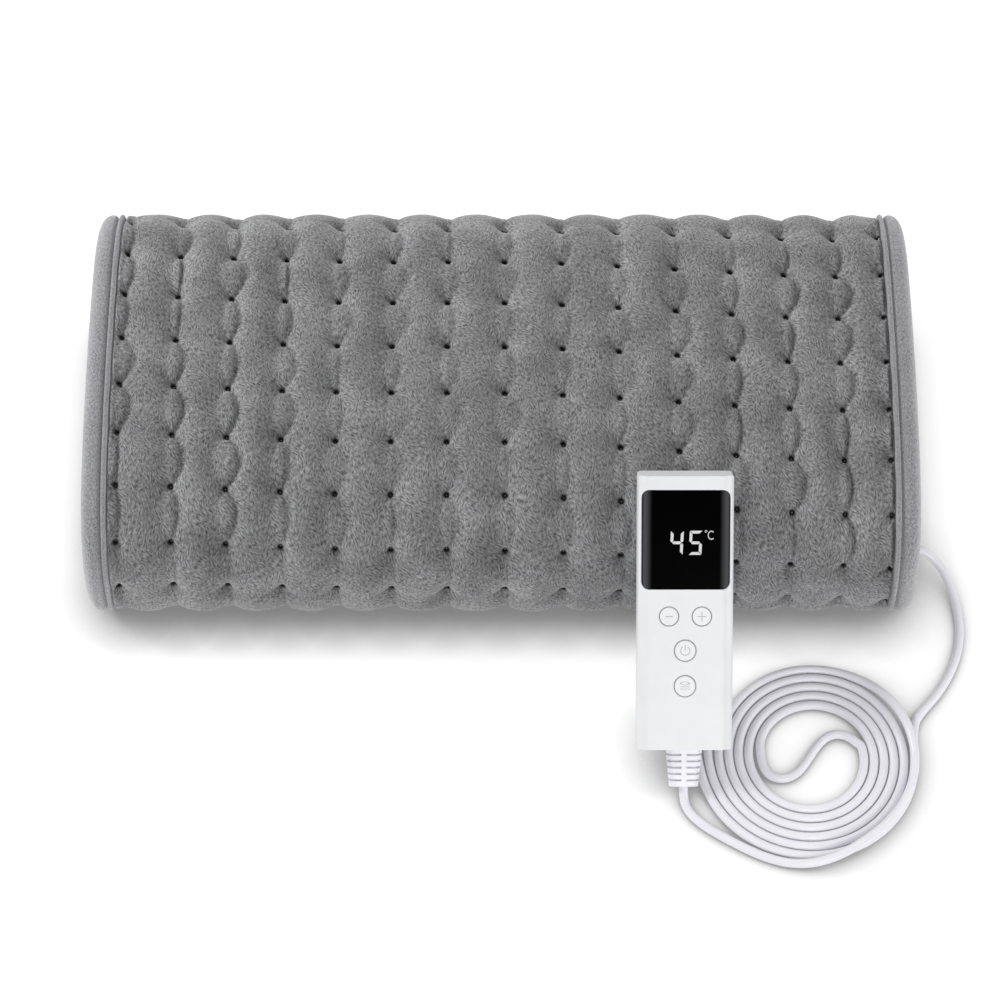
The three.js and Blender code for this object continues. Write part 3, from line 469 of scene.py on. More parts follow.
simulated = {
    "steps": 8,  # between two tufts
    "share": 0.3,  # how much of the simulated shape is kept
    "fade": 4,  # mm beside the first and last column over which it comes in
    "above": 1.2,  # how far it may stand over the crest
    "startShare": 0.9,
    "jitter": (0.11, 0.6),
    "grow": 10,  # the solver works better on a larger cloth
    "slackAcross": 1.05,
    "slackAlong": 1.02,
    "frames": 20,
}
clothSettings = {
    "quality": 6,
    "mass": 0.3,
    "tension_stiffness": 18,
    "compression_stiffness": 8,
    "shear_stiffness": 4,
    "bending_stiffness": 0.6,
    "air_damping": 2,
    "use_pressure": True,
    "uniform_pressure_force": 4.0,
}


def simulateQuilt():
    # the cloth between the tufts, blown out by its filling: how far each point of an even grid
    # moves across, along and out from the base
    steps, grow = simulated["steps"], simulated["grow"]
    across = [placeOfColumn(k / steps) for k in range(lastColumn * steps + 1)]
    along = [rowAt(firstFine + k / steps) for k in range((lastFine - firstFine) * steps + 1)]
    often, much = simulated["jitter"]
    bm = gridOf(across, along)
    order = []
    for vert in bm.verts:
        i, j = int(vert.co.x), int(vert.co.y)
        x, y = across[i], along[j]
        jitter = noise.noise(Vector((x, y, 0)) * often) * much
        vert.co = padPlace(x, y, puff(x, y)[0] * simulated["startShare"] + jitter) * grow
        order.append((i, j))
    cloth = meshPiece("quiltCloth", bm)
    pins = cloth.vertex_groups.new(name="sewn")
    pins.add([
        index for index, (i, j) in enumerate(order)
        if i in (0, len(across) - 1) or j in (0, len(along) - 1) or i % steps == j % steps == 0
    ], 1.0, "REPLACE")
    cloth.shape_key_add(name="Basis")
    flat = cloth.shape_key_add(name="flat")
    slack = simulated["slackAcross"], simulated["slackAlong"]
    for index, (i, j) in enumerate(order):
        place = Vector((across[i] * slack[0], along[j] * slack[1], 0))
        flat.data[index].co = place * mm * grow
    solver = cloth.modifiers.new("cloth", "CLOTH")
    settings = solver.settings
    for name, value in clothSettings.items():
        setattr(settings, name, value)
    settings.vertex_group_mass = pins.name
    settings.rest_shape_key = flat
    settings.effector_weights.gravity = 0
    solver.collision_settings.use_collision = False
    solver.point_cache.frame_end = simulated["frames"]
    for step in range(simulated["frames"]):
        scene.frame_set(step + 1)
    graph = bpy.context.evaluated_depsgraph_get()
    result = cloth.evaluated_get(graph).data
    moves = np.zeros((len(along), len(across), 3))
    for index, (i, j) in enumerate(order):
        point, outward = lineFrame(along[j])
        way = Vector((outward.y, -outward.x))
        place = result.vertices[index].co / grow / mm
        away = Vector((place.y - frameShift - point.x, place.z - point.y))
        moves[j, i] = (place.x - across[i], away.dot(way), away.dot(outward))
    scene.frame_set(1)
    bpy.data.objects.remove(cloth)
    return moves


def stepWeights(places, start, pitch, count):
    # weights that read an even row of count values at other places, by a cubic through four
    weights = np.zeros((len(places), count))
    for line, place in enumerate(places):
        at = min(max((place - start) / pitch, 0), count - 1)
        low = min(int(at), count - 2)
        t = at - low
        cubic = ((-t + 2 * t * t - t ** 3) / 2, (2 - 5 * t * t + 3 * t ** 3) / 2,
                 (t + 4 * t * t - 3 * t ** 3) / 2, (t ** 3 - t * t) / 2)
        for k, weight in enumerate(cubic):
            weights[line, min(max(low - 1 + k, 0), count - 1)] += weight
    return weights


def coverMoves():
    # for each place of the finished grid: how far it moves across, along and out, and its painted
    # shade
    columns, rows = len(acrossPlaces), len(alongPlaces)
    moves = np.zeros((rows, columns, 3))
    folds = np.zeros((rows, columns))
    pits = np.zeros((rows, columns))
    for j, along in enumerate(alongPlaces):
        for i, across in enumerate(acrossPlaces):
            moves[j, i, 2], folds[j, i] = puff(across, along)
            pits[j, i] = pit(across, along)
    settled = simulateQuilt()
    steps = simulated["steps"]
    byColumn = stepWeights(
        [columnAt(across) for across in acrossPlaces], 0, 1 / steps, settled.shape[1])
    byRow = stepWeights(
        alongPlaces, rowAt(firstFine), pad["rowPitch"] / steps, settled.shape[0])
    wanted = np.einsum("jb,bac,ia->jic", byRow, settled, byColumn)
    wanted[..., 2] = np.minimum(wanted[..., 2], pad["crest"] + simulated["above"])
    print("cloth settled; it stands", round(float(settled[..., 2].max()), 2), "mm at most")
    inLength = np.array([
        between(along, rowAt(firstFine), rowAt(firstFine + 1))
        * between(-along, -rowAt(lastFine), -rowAt(lastFine - 1)) for along in alongPlaces])
    inWidth = np.array([
        between(-abs(across), tuftColumns[0], tuftColumns[0] + simulated["fade"])
        for across in acrossPlaces])
    kept = simulated["share"] * inLength[:, None, None] * inWidth[None, :, None]
    moves += (wanted - moves) * kept
    moves[..., 2] = np.maximum(moves[..., 2] - pits, quilt["thinnest"])
    # painted shade, as if lit from the left: the cover is made paler where it rises to the right,
    # darker where it falls, and darkest down in a crease
    slope = np.gradient(moves[..., 2], acrossPlaces, axis=1)
    bend = np.tanh(slope * quilt["slopeLimit"])
    tones = 1 + quilt["slopeTone"] * bend - quilt["foldTone"] * folds
    return moves, tones


def makeCover():
    moves, tones = coverMoves()
    bm = gridOf(acrossPlaces, alongPlaces)
    # the painted shade of the slopes and creases, kept on the points
    paintedShadeLayer = bm.verts.layers.float.new("tone")
    spots = [(int(vert.co.x), int(vert.co.y)) for vert in bm.verts]
    cloth = bm.loops.layers.uv.new("cloth")
    tufts = bm.loops.layers.uv.new("tufts")
    for face in bm.faces:
        for loop in face.loops:
            i, j = spots[loop.vert.index]
            loop[cloth].uv = (acrossPlaces[i] * mm, alongPlaces[j] * mm)
            loop[tufts].uv = (columnAt(acrossPlaces[i]), rowOf(alongPlaces[j]))
    # the base closes the cover from behind
    doubled = bmesh.ops.duplicate(bm, geom=list(bm.verts) + list(bm.edges) + list(bm.faces))
    bm.verts.index_update()
    verts = list(bm.verts)
    for vert, (i, j) in zip(verts, spots):
        across, along, out = moves[j, i]
        along += alongPlaces[j] + drift(acrossPlaces[i], alongPlaces[j])
        vert.co = padPlace(acrossPlaces[i] + across, min(max(along, 0), pad["length"]), out)
        vert[paintedShadeLayer] = tones[j, i]
    for vert, (i, j) in zip(verts[len(spots):], spots):
        vert.co = padPlace(acrossPlaces[i], alongPlaces[j], 0.05)
    rims = [edge for edge in bm.edges if edge.is_boundary]
    bmesh.ops.bridge_loops(bm, edges=rims)
    bmesh.ops.recalc_face_normals(bm, faces=bm.faces)
    return meshPiece("quilted_cover", bm)


# Short-pile velvet, polyester, knitted and brushed: matte, and brighter by a painted sheen where
# it is seen at a slant, with locks of pile that lie this way and that. A lock is streak mm wide
# and long, coarser than a real one, which is too fine to show
def velvet(name, base, tufts=False, streak=(0.72, 2.2), depth=0.8, contrast=0.6, patches=0.2,
           rim=0.45):
    material, tree, shader = newMaterial(name)
    eased = {"interpolation_type": "SMOOTHSTEP"}
    cloth = addNode(tree, "UVMap", {"uv_map": "cloth"})
    lay = addNode(tree, "TexNoise", None, {
        "Vector": cloth, "Scale": 85.0, "Detail": 2.0, "Distortion": 0.6})
    pile = None
    for k, angle in enumerate((-58, -22, 12, 47)):
        turned = addNode(tree, "Mapping", None, {
            "Vector": cloth, "Rotation": (0, 0, math.radians(angle)),
            "Location": (0.37 * k, 0.21 * k, 0)})
        drawnOut = addNode(tree, "Mapping", None, {
            "Vector": turned, "Scale": (1 / streak[0], 1 / streak[1], 1)})
        strands = addNode(tree, "TexNoise", None, {
            "Vector": drawnOut, "Scale": 1 / mm, "Detail": 1.5, "Roughness": 0.5})
        if pile is None:
            pile = strands
            continue
        border = 0.36 + 0.09 * k
        chosen = addNode(tree, "MapRange", eased, {
            "Value": lay, "From Min": border - 0.02, "From Max": border + 0.03})
        pile = addNode(tree, "Mix", {"data_type": "FLOAT"}, {0: chosen, 2: pile, 3: strands})
    cloud = addNode(tree, "TexNoise", None, {"Vector": cloth, "Scale": 38.0, "Detail": 3.0})
    # all that lightens or darkens the colour, multiplied at the end: the pile, its patches, and
    # painted shade and painted sheen
    tones = [
        addNode(tree, "MapRange", None, {
            "Value": pile, "From Min": 0.32, "From Max": 0.68,
            "To Min": 1 - contrast, "To Max": 1 + contrast}),
        addNode(tree, "MapRange", None, {
            "Value": cloud, "From Min": 0.3, "From Max": 0.7,
            "To Min": 1 - patches, "To Max": 1 + patches}),
    ]
    if tufts:
        # painted shade of the quilted cover: paler on slopes that face the light, darker on those
        # facing away, darkest in creases
        tones.append(addNode(tree, "Attribute", {"attribute_name": "tone"}).outputs["Fac"])
        # the way from the nearest tuft, as a share of the way to the next
        spot = addNode(tree, "UVMap", {"uv_map": "tufts"})
        for operation, value in (("ADD", (0.5, 0.5, 0)), ("FRACTION", (0, 0, 0)),
                                 ("SUBTRACT", (0.5, 0.5, 0)), ("MULTIPLY", (1, 1, 0))):
            spot = addNode(tree, "VectorMath", {"operation": operation}, {0: spot, 1: value})
        away = addNode(tree, "VectorMath", {"operation": "LENGTH"}, {0: spot}).outputs["Value"]
        # painted shade down in the needle hole at each tuft, with the thread pale in its middle
        start, end = quilt["holeShares"]
        hole = addNode(tree, "MapRange", eased, {
            "Value": away, "From Min": start, "From Max": end, "To Min": 0.03, "To Max": 1.0})
        start, end = quilt["threadShares"]
        thread = addNode(tree, "MapRange", eased, {
            "Value": away, "From Min": start, "From Max": end, "To Min": 0.9, "To Max": 0.0})
        tones.append(addNode(tree, "Math", {"operation": "MAXIMUM"}, {0: hole, 1: thread}))
    # painted sheen: the colour is made brighter where the cloth is seen at a grazing angle (rim
    # sets how much)
    slant = addNode(tree, "LayerWeight", None, {"Blend": 0.5}).outputs["Facing"]
    tones.append(addNode(tree, "MapRange", None, {
        "Value": slant, "From Min": 0.2, "From Max": 0.9, "To Min": 1.0, "To Max": 1 + rim}))
    tone = tones[0]
    for other in tones[1:]:
        tone = addNode(tree, "Math", {"operation": "MULTIPLY"}, {0: tone, 1: other})
    mixed = addNode(tree, "VectorMath", {"operation": "SCALE"}, {
        0: colour(base)[:3], "Scale": tone})
    raised = addNode(tree, "Bump", None, {
        "Height": pile, "Strength": depth, "Distance": 0.8 * mm})
    setInputs(tree, shader, {
        "Base Color": mixed, "Normal": raised, "Roughness": 0.95, "Specular IOR Level": 0.1,
        "Sheen Weight": 0.6, "Sheen Roughness": 0.4, "Sheen Tint": (0.8, 0.8, 0.81, 1)})
    return material


plushVelvet = velvet("polyester velvet", "7e7e7f", tufts=True)
plainVelvet = velvet("polyester velvet, plain", "7e7e7f")
hemVelvet = velvet("hem velvet", "939395", streak=(0.6, 1.7), depth=0.5,
                   contrast=0.36, patches=0.06, rim=0.5)

quiltedCover = makeCover()
dress(quiltedCover, plushVelvet, ["pad_front_cover"])
print("cover made")


def strip(name, columns, rows, place, flat):
    # a closed strip of cloth; place and flat say where the crossing of a column and a row lies,
    # in the scene and on the cloth when it is flat
    bm = gridOf(columns, rows)
    cloth = bm.loops.layers.uv.new("cloth")
    for face in bm.faces:
        for loop in face.loops:
            spot = loop.vert.co
            loop[cloth].uv = [length * mm for length in flat(int(spot.x), int(spot.y))]
    for vert in bm.verts:
        vert.co = place(int(vert.co.x), int(vert.co.y))
    bmesh.ops.remove_doubles(bm, verts=bm.verts, dist=0.001 * mm)
    bmesh.ops.holes_fill(bm, edges=[edge for edge in bm.edges if edge.is_boundary], sides=0)
    bmesh.ops.recalc_face_normals(bm, faces=bm.faces)
    piece = meshPiece(name, bm)
    rounder = piece.modifiers.new("rounder", "SUBSURF")
    rounder.levels = rounder.render_levels = 1
    return piece


def lengthsRound(ring):
    lengths = [0]
    for a, b in zip(ring, ring[1:]):
        lengths.append(lengths[-1] + math.dist(a, b))
    return lengths


def band(name, profile, rows):
    # a strip that runs along the roll; profile is (across, out) in mm, in order round it
    ring = profile + profile[:1]
    lengths = lengthsRound(ring)
    return strip(name, ring, rows,
                 lambda i, j: padPlace(ring[i][0], rows[j], ring[i][1]),
                 lambda i, j: (lengths[i], rows[j]))


bandRows = spread((0.5, 3), (8, 130), (pad["length"] - 8, 3), (pad["length"] - 0.5, 0))
layers = {
    "wireRoom": 2.6,
    "carrier": 3.0,
    "gap": 0.3,
    "back": 5.0,
    "backTuft": 1.6,  # how much thinner the back cover is at a column of tufts
    "backSides": (0.4, 1.8),  # and at its two sides, from above and from below
}
backTop = -(layers["wireRoom"] + layers["carrier"] + layers["gap"])
backBottom = backTop - layers["back"]


def makeBack():
    above, below = layers["backSides"]
    places = [placeOfColumn(k / 2) for k in range(2 * lastColumn + 1)]
    tucks = [layers["backTuft"] if k % 2 == 0 else 0 for k in range(len(places))]
    upper = [(across, backTop) for across in places]
    upper = [(-coverHalf, backTop - above), *upper, (coverHalf, backTop - above)]
    lower = [(across, backBottom + tuck) for across, tuck in zip(places, tucks)]
    lower = [(-coverHalf, backBottom + below), *lower, (coverHalf, backBottom + below)]
    return band("back_cover", upper + lower[::-1], bandRows)


backCover = makeBack()
dress(backCover, plainVelvet, ["pad_back_cover"])

# shares of the hem's width and of its two thicknesses, from the seam outwards and back underneath
hem = {
    "over": [(0, 0.4), (0.015, 0.7), (0.05, 0.98), (0.12, 1.02), (0.18, 0.95), (0.212, 0.68),
             (0.24, 0.62), (0.285, 0.84), (0.4, 0.98), (0.58, 0.95), (0.76, 0.77), (0.9, 0.44),
             (0.985, 0.0)],
    "under": [(1, -0.42), (0.96, -0.68), (0.84, -0.9), (0.6, -1), (0.2, -1), (0, -0.95)],
}


def makeHem(side, name):
    inner = coverHalf + 0.2
    width = pad["width"] / 2 - inner
    profile = [(side * (inner + x * width), out * pad["crest"]) for x, out in hem["over"]]
    profile += [(side * (inner + x * width), out * -backBottom) for x, out in hem["under"]]
    return band(name, profile, bandRows)


for side, name in ((-1, "hem_left"), (1, "hem_right")):
    sideHem = makeHem(side, name + "_velvet")
    dress(sideHem, hemVelvet, [name])

# the binding that closes each end of the layers: (along, out) in mm, round it
endHem = {
    "profile": [(-2.2, -4), (-2.2, 3.4), (-0.6, 6.2), (3, 7.3), (9, 7.6), (11.6, 7.2), (12.4, 6),
                (12.4, -9), (11.4, -10.5), (9, -10.9), (3, -10.9), (-0.6, -9.9), (-2, -7.6)],
    "half": coverHalf + 1.8,  # its ends lie in the side hems
    "steps": 90,
}


def makeEndHem(name, start, way):
    ring = endHem["profile"] + endHem["profile"][:1]
    lengths = lengthsRound(ring)
    steps = endHem["steps"]
    places = [endHem["half"] * (2 * k / steps - 1) for k in range(steps + 1)]
    return strip(name, places, ring,
                 lambda i, j: padPlace(places[i], start + way * ring[j][0], ring[j][1]),
                 lambda i, j: (places[i], lengths[j]))


for name, start, way in (("hem_outer_end", 0, 1), ("hem_inner_end", pad["length"], -1)):
    binding = makeEndHem(name, start, way)
    dress(binding, hemVelvet)
print("back and hems made")

# the controller: x across it, y from the lead's end, z from its back, in mm
handset = {
    "at": (93.2, -133.148, 12.512),
    "lean": math.radians(38),
    "length": 140.6,
    "width": 48.8,
    "taper": 2.4,  # the CAD's case is that much narrower at the lead's end
    "straightFrom": (14.5, 21),  # how far from its middle that is undone
    "sharpFold": 32,  # degrees
    "level": 0.9995,  # the cosine from which a face counts as flat
    # where the painted reflection on the lens's curved sides lies
    "lensHaze": (16.8, 21.0, 22.2),  # from the middle: it starts, is full, and the lens ends
    "face": 19.0,
    "keyGap": 0.2,
    "keyFlange": 1.0,
    "flangeZ": (16.1, 16.9),
    "stem": 3.2,
    "stemBottom": 15.5,
}


ahead, up = math.cos(handset["lean"]), math.sin(handset["lean"])


def handsetPlace(x, y, z):
    left, near, low = handset["at"]
    return Vector((left + x, near + y * ahead - z * up, low + y * up + z * ahead)) * mm


def handsetLocal(place):
    x, y, z = (a / mm - b for a, b in zip(place, handset["at"]))
    return x, y * ahead + z * up, z * ahead - y * up


caseWhite = moulded("ABS, satin moulding", "eeeff1", 0.36)
keyWhite = moulded("ABS keycap", "f1f2f3", 0.4)
# painted shade of the gap round each key, laid on its rim as a grey ring
keyGapShade = moulded("pad print, grey", "a2a3a5", 0.5, bump=0.0)
markGrey = moulded("pad print, pale grey", "c0c0c2", 0.5, bump=0.0)
leadWhite = moulded("PVC, soft white", "f2f1f7", 0.24, grain=0.6, mottle=0.02)


# Acrylic, moulded and printed black from behind, with a painted reflection: its curved sides are
# coloured a soft grey
def lensGloss():
    material, tree, shader = newMaterial("acrylic lens, black")
    place = addNode(tree, "TexCoord").outputs["Object"]
    across = addNode(tree, "SeparateXYZ", None, {"Vector": place})
    fromMiddle = addNode(tree, "Math", {"operation": "SUBTRACT"}, {
        0: across, 1: handset["at"][0] * mm})
    off = addNode(tree, "Math", {"operation": "ABSOLUTE"}, {0: fromMiddle})
    start, end, edge = [limit * mm for limit in handset["lensHaze"]]
    eased = {"interpolation_type": "SMOOTHSTEP"}
    # painted reflection: grey on the curved sides, fading again towards the lens's edge
    paintedReflection = addNode(tree, "MapRange", eased, {"Value": off, "From Min": start, "From Max": end})
    rim = addNode(tree, "MapRange", eased, {
        "Value": off, "From Min": end, "From Max": edge, "To Min": 1.0, "To Max": 0.25})
    both = addNode(tree, "Math", {"operation": "MULTIPLY"}, {0: paintedReflection, 1: rim})
    black, grey = Vector(colour("010101")[:3]), Vector(colour("4e4e50")[:3])
    grown = addNode(tree, "VectorMath", {"operation": "SCALE"}, {0: grey - black, "Scale": both})
    tint = addNode(tree, "VectorMath", {"operation": "ADD"}, {0: grown, 1: black})
    setInputs(tree, shader, {"Base Color": tint, "Roughness": 0.12, "Specular IOR Level": 0.02})
    return material


lensBlack = lensGloss()


def smoothCopy(name, material, straight=False):
    # a CAD node's form with its facets smoothed
    bm = bmesh.new()
    bm.from_mesh(nodes[name].data)
    bmesh.ops.remove_doubles(bm, verts=bm.verts, dist=0.002 * mm)
    if straight:
        for vert in bm.verts:
            x, y, z = handsetLocal(vert.co)
            narrow = 1 - handset["taper"] / handset["width"] * (1 - y / handset["length"])
            outer = between(abs(x), *handset["straightFrom"])
            vert.co = handsetPlace(x * (1 + (1 / narrow - 1) * outer), y, z)
    # the flat face and back keep their own light, and only the rounded edges are shaded smoothly
    bm.normal_update()
    outwards = (handsetPlace(0, 0, 1) - handsetPlace(0, 0, 0)).normalized()
    sharp = math.radians(handset["sharpFold"])
    for edge in bm.edges:
        level = {abs(face.normal.dot(outwards)) > handset["level"] for face in edge.link_faces}
        edge.smooth = edge.calc_face_angle(math.pi) < sharp and len(level) == 1
    dress(meshPiece(name + "_skin", bm), material, [name])


smoothCopy("front_shell", caseWhite, straight=True)
smoothCopy("back_shell", caseWhite, straight=True)
smoothCopy("display_lens", lensBlack, straight=True)
smoothCopy("handset_strain_relief", leadWhite)
smoothCopy("pad_gland", leadWhite)


def addPlate(bm, outline, low, high):
    # a flat piece with that outline, between two heights over the controller's back
    base = [bm.verts.new((x, y, low)) for x, y in outline]
    face = bm.faces.new(base)
    grown = bmesh.ops.extrude_face_region(bm, geom=[face])
    for item in grown["geom"]:
        if isinstance(item, bmesh.types.BMVert):
            item.co.z = high


def onHandset(name, bm):
    for vert in bm.verts:
        vert.co = handsetPlace(*vert.co)
    bmesh.ops.recalc_face_normals(bm, faces=bm.faces)
    return meshPiece(name, bm, smooth=False)


def ringOutline(radius, width, start=0, turn=360, steps=48):
    # a ring, or a part of one, as one outline
    angles = [math.radians(start + turn * k / steps) for k in range(steps + 1)]
    inside = radius - width
    outer = [(radius * math.cos(a), radius * math.sin(a)) for a in angles]
    return outer + [(inside * math.cos(a), inside * math.sin(a)) for a in reversed(angles)]


def bar(width, height, x=0, y=0):
    return [(x - width / 2, y - height / 2), (x + width / 2, y - height / 2),
            (x + width / 2, y + height / 2), (x - width / 2, y + height / 2)]


# the number on the display: segments of a sloping figure, with its degree sign
digits = {
    "low": 100.5,
    "height": 12.3,
    "width": 6.5,
    "stroke": 1.42,
    "slant": math.tan(math.radians(3)),
    "cut": 0.2,  # left between two segments
    "figures": [(-8.2, "bcfg"), (1.3, "acdfg")],
    "thickness": (-0.02, 0.03),  # over the lens's face
    "degree": (10.1, 112.5, 0.62, 0.26),  # place across and along, radius, stroke
    "letter": (12.8, 110.5, 2.3, 0.5),
    "letterShape": 0.78,  # its width as a share of its height
}


def segment(kind):
    # one bar of a seven-part figure, as an outline with bevelled ends
    wide, high, stroke, cut = digits["width"], digits["height"], digits["stroke"], digits["cut"]
    half, middle = stroke / 2, digits["height"] / 2
    if kind == "g":
        left, right = stroke + cut, wide - stroke - cut
        return [(half + cut, middle), (left, middle + half), (right, middle + half),
                (wide - half - cut, middle), (right, middle - half), (left, middle - half)]
    if kind in "ad":
        outline = [(cut, high), (wide - cut, high), (wide - stroke - cut, high - stroke),
                   (stroke + cut, high - stroke)]
    else:
        outline = [(0, high - cut), (stroke, high - stroke - cut), (stroke, middle + half + cut),
                   (half, middle + cut), (0, middle + half + cut)]
    if kind in "bc":
        outline = [(wide - x, y) for x, y in outline]
    if kind in "cd":
        outline = [(x, high - y) for x, y in outline]
    return outline


def makeDigits():
    outlines = []
    for left, kinds in digits["figures"]:
        for kind in kinds:
            outlines.append([
                (left + x + y * digits["slant"], digits["low"] + y) for x, y in segment(kind)])
    across, along, radius, stroke = digits["degree"]
    outlines.append([(across + x, along + y) for x, y in ringOutline(radius, stroke, steps=20)])
    across, along, radius, stroke = digits["letter"]
    letter = ringOutline(radius, stroke, start=48, turn=264, steps=30)
    outlines.append([(across + x * digits["letterShape"], along + y) for x, y in letter])
    bm = bmesh.new()
    low, high = digits["thickness"]
    for outline in outlines:
        addPlate(bm, outline, handset["face"] + low, handset["face"] + high)
    return onHandset("display_digits", bm)


# The lit parts of the display: plain white, a little brighter than print
def litWhite():
    material, tree, shader = newMaterial("LED segments, white")
    place = addNode(tree, "TexCoord").outputs["Object"]
    cloud = addNode(tree, "TexNoise", None, {"Vector": place, "Scale": 900.0})
    glow = addNode(tree, "MapRange", None, {
        "Value": cloud, "From Min": 0.3, "From Max": 0.7, "To Min": 0.55, "To Max": 0.75})
    setInputs(tree, shader, {
        "Base Color": colour("202020"), "Emission Color": (1, 1, 1, 1), "Emission Strength": glow})
    return material


dress(makeDigits(), litWhite())

keys = {
    # name: place across and along, diameter, mark
    "minus": (-8.3, 68.9, 10.0),
    "plus": (8.3, 68.9, 10.0),
    "power": (0, 51.3, 11.2),
    "mode": (0, 33.0, 11.2),
}
line = 0.42  # of the printed marks
# the marks' outlines, from the middle of their key
marks = {
    "minus": [bar(3.96, 0.46)],
    "plus": [bar(4.7, line), bar(line, 2.1, 0, 1.3), bar(line, 2.1, 0, -1.3)],
    "power": [ringOutline(2.55, line, start=122, turn=296, steps=36), bar(line, 2.7, 0, 1.5)],
    "mode": [[(x * 2.5, y * 0.9 + 1.5) for x, y in ringOutline(1, 0.28, steps=36)],
             bar(4.9, 0.3, 0, -0.25), bar(4.9, 0.3, 0, -1.45)],
}


def makeKeyCap(name):
    x, y, diameter = keys[name]
    radius = diameter / 2
    flangeLow, flangeHigh = handset["flangeZ"]
    face = handset["face"]
    flange = radius + handset["keyGap"] + handset["keyFlange"]
    stem, bottom = handset["stem"] / 2, handset["stemBottom"]
    # from the stem's foot out to the flange, up, and over the cap's rounded rim to its middle,
    # which lies a little lower
    profile = [
        (0, bottom), (stem, bottom), (stem, flangeLow), (flange, flangeLow), (flange, flangeHigh),
        (radius, flangeHigh), (radius, face - 0.3), (radius - 0.1, face - 0.08),
        (radius - 0.35, face), (radius - 1.4, face - 0.03), (0, face - 0.06),
    ]
    bm = bmesh.new()
    verts = [bm.verts.new((r, 0, z)) for r, z in profile]
    edges = [bm.edges.new(pair) for pair in zip(verts, verts[1:])]
    bmesh.ops.spin(bm, geom=verts + edges, cent=(0, 0, 0), axis=(0, 0, 1), angle=2 * math.pi,
                   steps=64, use_merge=True)
    bmesh.ops.remove_doubles(bm, verts=bm.verts, dist=0.001)
    for vert in bm.verts:
        vert.co = handsetPlace(vert.co.x + x, vert.co.y + y, vert.co.z)
    bmesh.ops.recalc_face_normals(bm, faces=bm.faces)
    cap = meshPiece(name + "_cap", bm)
    cap.data.set_sharp_from_angle(angle=math.radians(40))
    return cap


def makeKeyMarksAndShade(name, outlines, title, rise):
    x, y, diameter = keys[name]
    face = handset["face"]
    bm = bmesh.new()
    for outline in outlines:
        addPlate(bm, [(x + a, y + b) for a, b in outline], face - 0.09, face + rise)
    return onHandset(name + title, bm)


for name, (x, y, diameter) in keys.items():
    body = name + "_key"
    dress(makeKeyCap(name), keyWhite, ["key_" + name], body)
    dress(makeKeyMarksAndShade(name, marks[name], "_mark", 0.0), markGrey, (), body)
    # a grey ring on the rim, a hair above the mark: painted shade of the gap round the key
    ring = ringOutline(diameter / 2 - 0.02, line, steps=64)
    dress(makeKeyMarksAndShade(name, [ring], "_edge", 0.012), keyGapShade, (), body)
print("controller dressed")

# the CAD's own pieces, by the start of their names; most of them lie inside
cadMaterials = [
    ("heating_carrier", moulded("needled felt", "d8d4ca", 0.95, grain=0.5, bump=0.5, mottle=0.15)),
    ("heating_wire", moulded("silicone sleeve", "a04438", 0.6)),
    ("display_module", moulded("display glass, grey", "2a2b2e", 0.3)),
    ("circuit_board", moulded("solder mask, green", "1f5a36", 0.4)),
    ("film_capacitor", moulded("epoxy, yellow", "d6b432", 0.4)),
    ("fuse", moulded("fuse glass", "c9d2d4", 0.15)),
    (("switch_", "case_screw_"), moulded("steel, zinc plated", "b9bbbd", 0.3, metallic=1)),
    (("lead_", "handset_strain", "pad_gland"), leadWhite),
    (("front_", "back_shell", "key_"), caseWhite),
    ("", moulded("epoxy, black", "1c1c1e", 0.5)),
]
for name, piece in nodes.items():
    paint(piece, next(material for start, material in cadMaterials if name.startswith(start)))
print("CAD pieces painted")

# the lead: from the gland in the hem to the coil, round it, and on to the controller
lead = {
    "diameter": 4.7,
    "lane": 5.2,
    "crossing": 5.6,  # how far it is lifted over itself
    "coilRadius": 53.3,
    "coilAt": (159.6, -184),
    "turnSteps": 24,
    "lanes": 5,
    "climb": (-1.86, -1.0),  # radians round the coil
    "descent": (0.5, 1.3),
    "bootTip": (93.2, -202.31, 7.5),
    "length": 1.93,  # in metres, end to end
}
leadZ = lead["diameter"] / 2
# its open stretches, from the controller to the coil and from the pad to the coil
handsetRoute = [
    (93.6, -210.2, 2.8), (95.6, -214.6, 2.4), (99.6, -219.4, 2.4), (105.6, -224.3, 2.4),
    (113.1, -229.1, 2.4),
]
padRoute = [
    (228, -73, 11.6), (233.4, -79, 8.4), (237, -87.5, 5), (239.6, -98, 3), (240.6, -112, 2.4),
    (238.2, -125.5, 2.4), (232.8, -138.5, 2.4), (226, -149, 2.4), (218.9, -157, 2.4),
    (214.6, -162.6, 2.4), (212.7, -168.8, 2.4),
]
# the bend in the coil's middle and the turn under the controller, as shares of a radius
heartShares = [
    (-0.93, -0.25), (-0.76, -0.43), (-0.5, -0.47), (-0.24, -0.33), (-0.02, 0.02), (0.2, 0.36),
    (0.46, 0.5), (0.73, 0.44), (0.91, 0.25),
]
turnBackShares = [
    (-0.995, 0.12), (-1, 0.27), (-1.02, 0.42), (-1.05, 0.57), (-1.1, 0.71), (-1.21, 0.81),
    (-1.36, 0.8), (-1.46, 0.68), (-1.44, 0.53), (-1.33, 0.4), (-1.21, 0.28), (-1.13, 0.15),
]


def coilSpot(step, lanesIn, lifted):
    # a point of the spiral; a lifted one crosses over the lanes where it comes in
    angle = step * 2 * math.pi / lead["turnSteps"]
    lift = 1 - between(angle, *lead["descent"]) if lifted else 0
    rise = between(angle, *lead["climb"]) * math.pi / 2 if lifted else 0
    radius = lead["coilRadius"] - lead["lane"] * (angle / math.pi + lanesIn)
    radius += lead["crossing"] * math.cos(rise) * lift
    height = leadZ + lead["crossing"] * math.sin(rise) * lift
    x, y = lead["coilAt"]
    return (x + radius * math.cos(angle), y + radius * math.sin(angle), height)


def sharedSpots(shares, radius):
    x, y = lead["coilAt"]
    return [(x + a * radius, y + b * radius, leadZ) for a, b in shares]


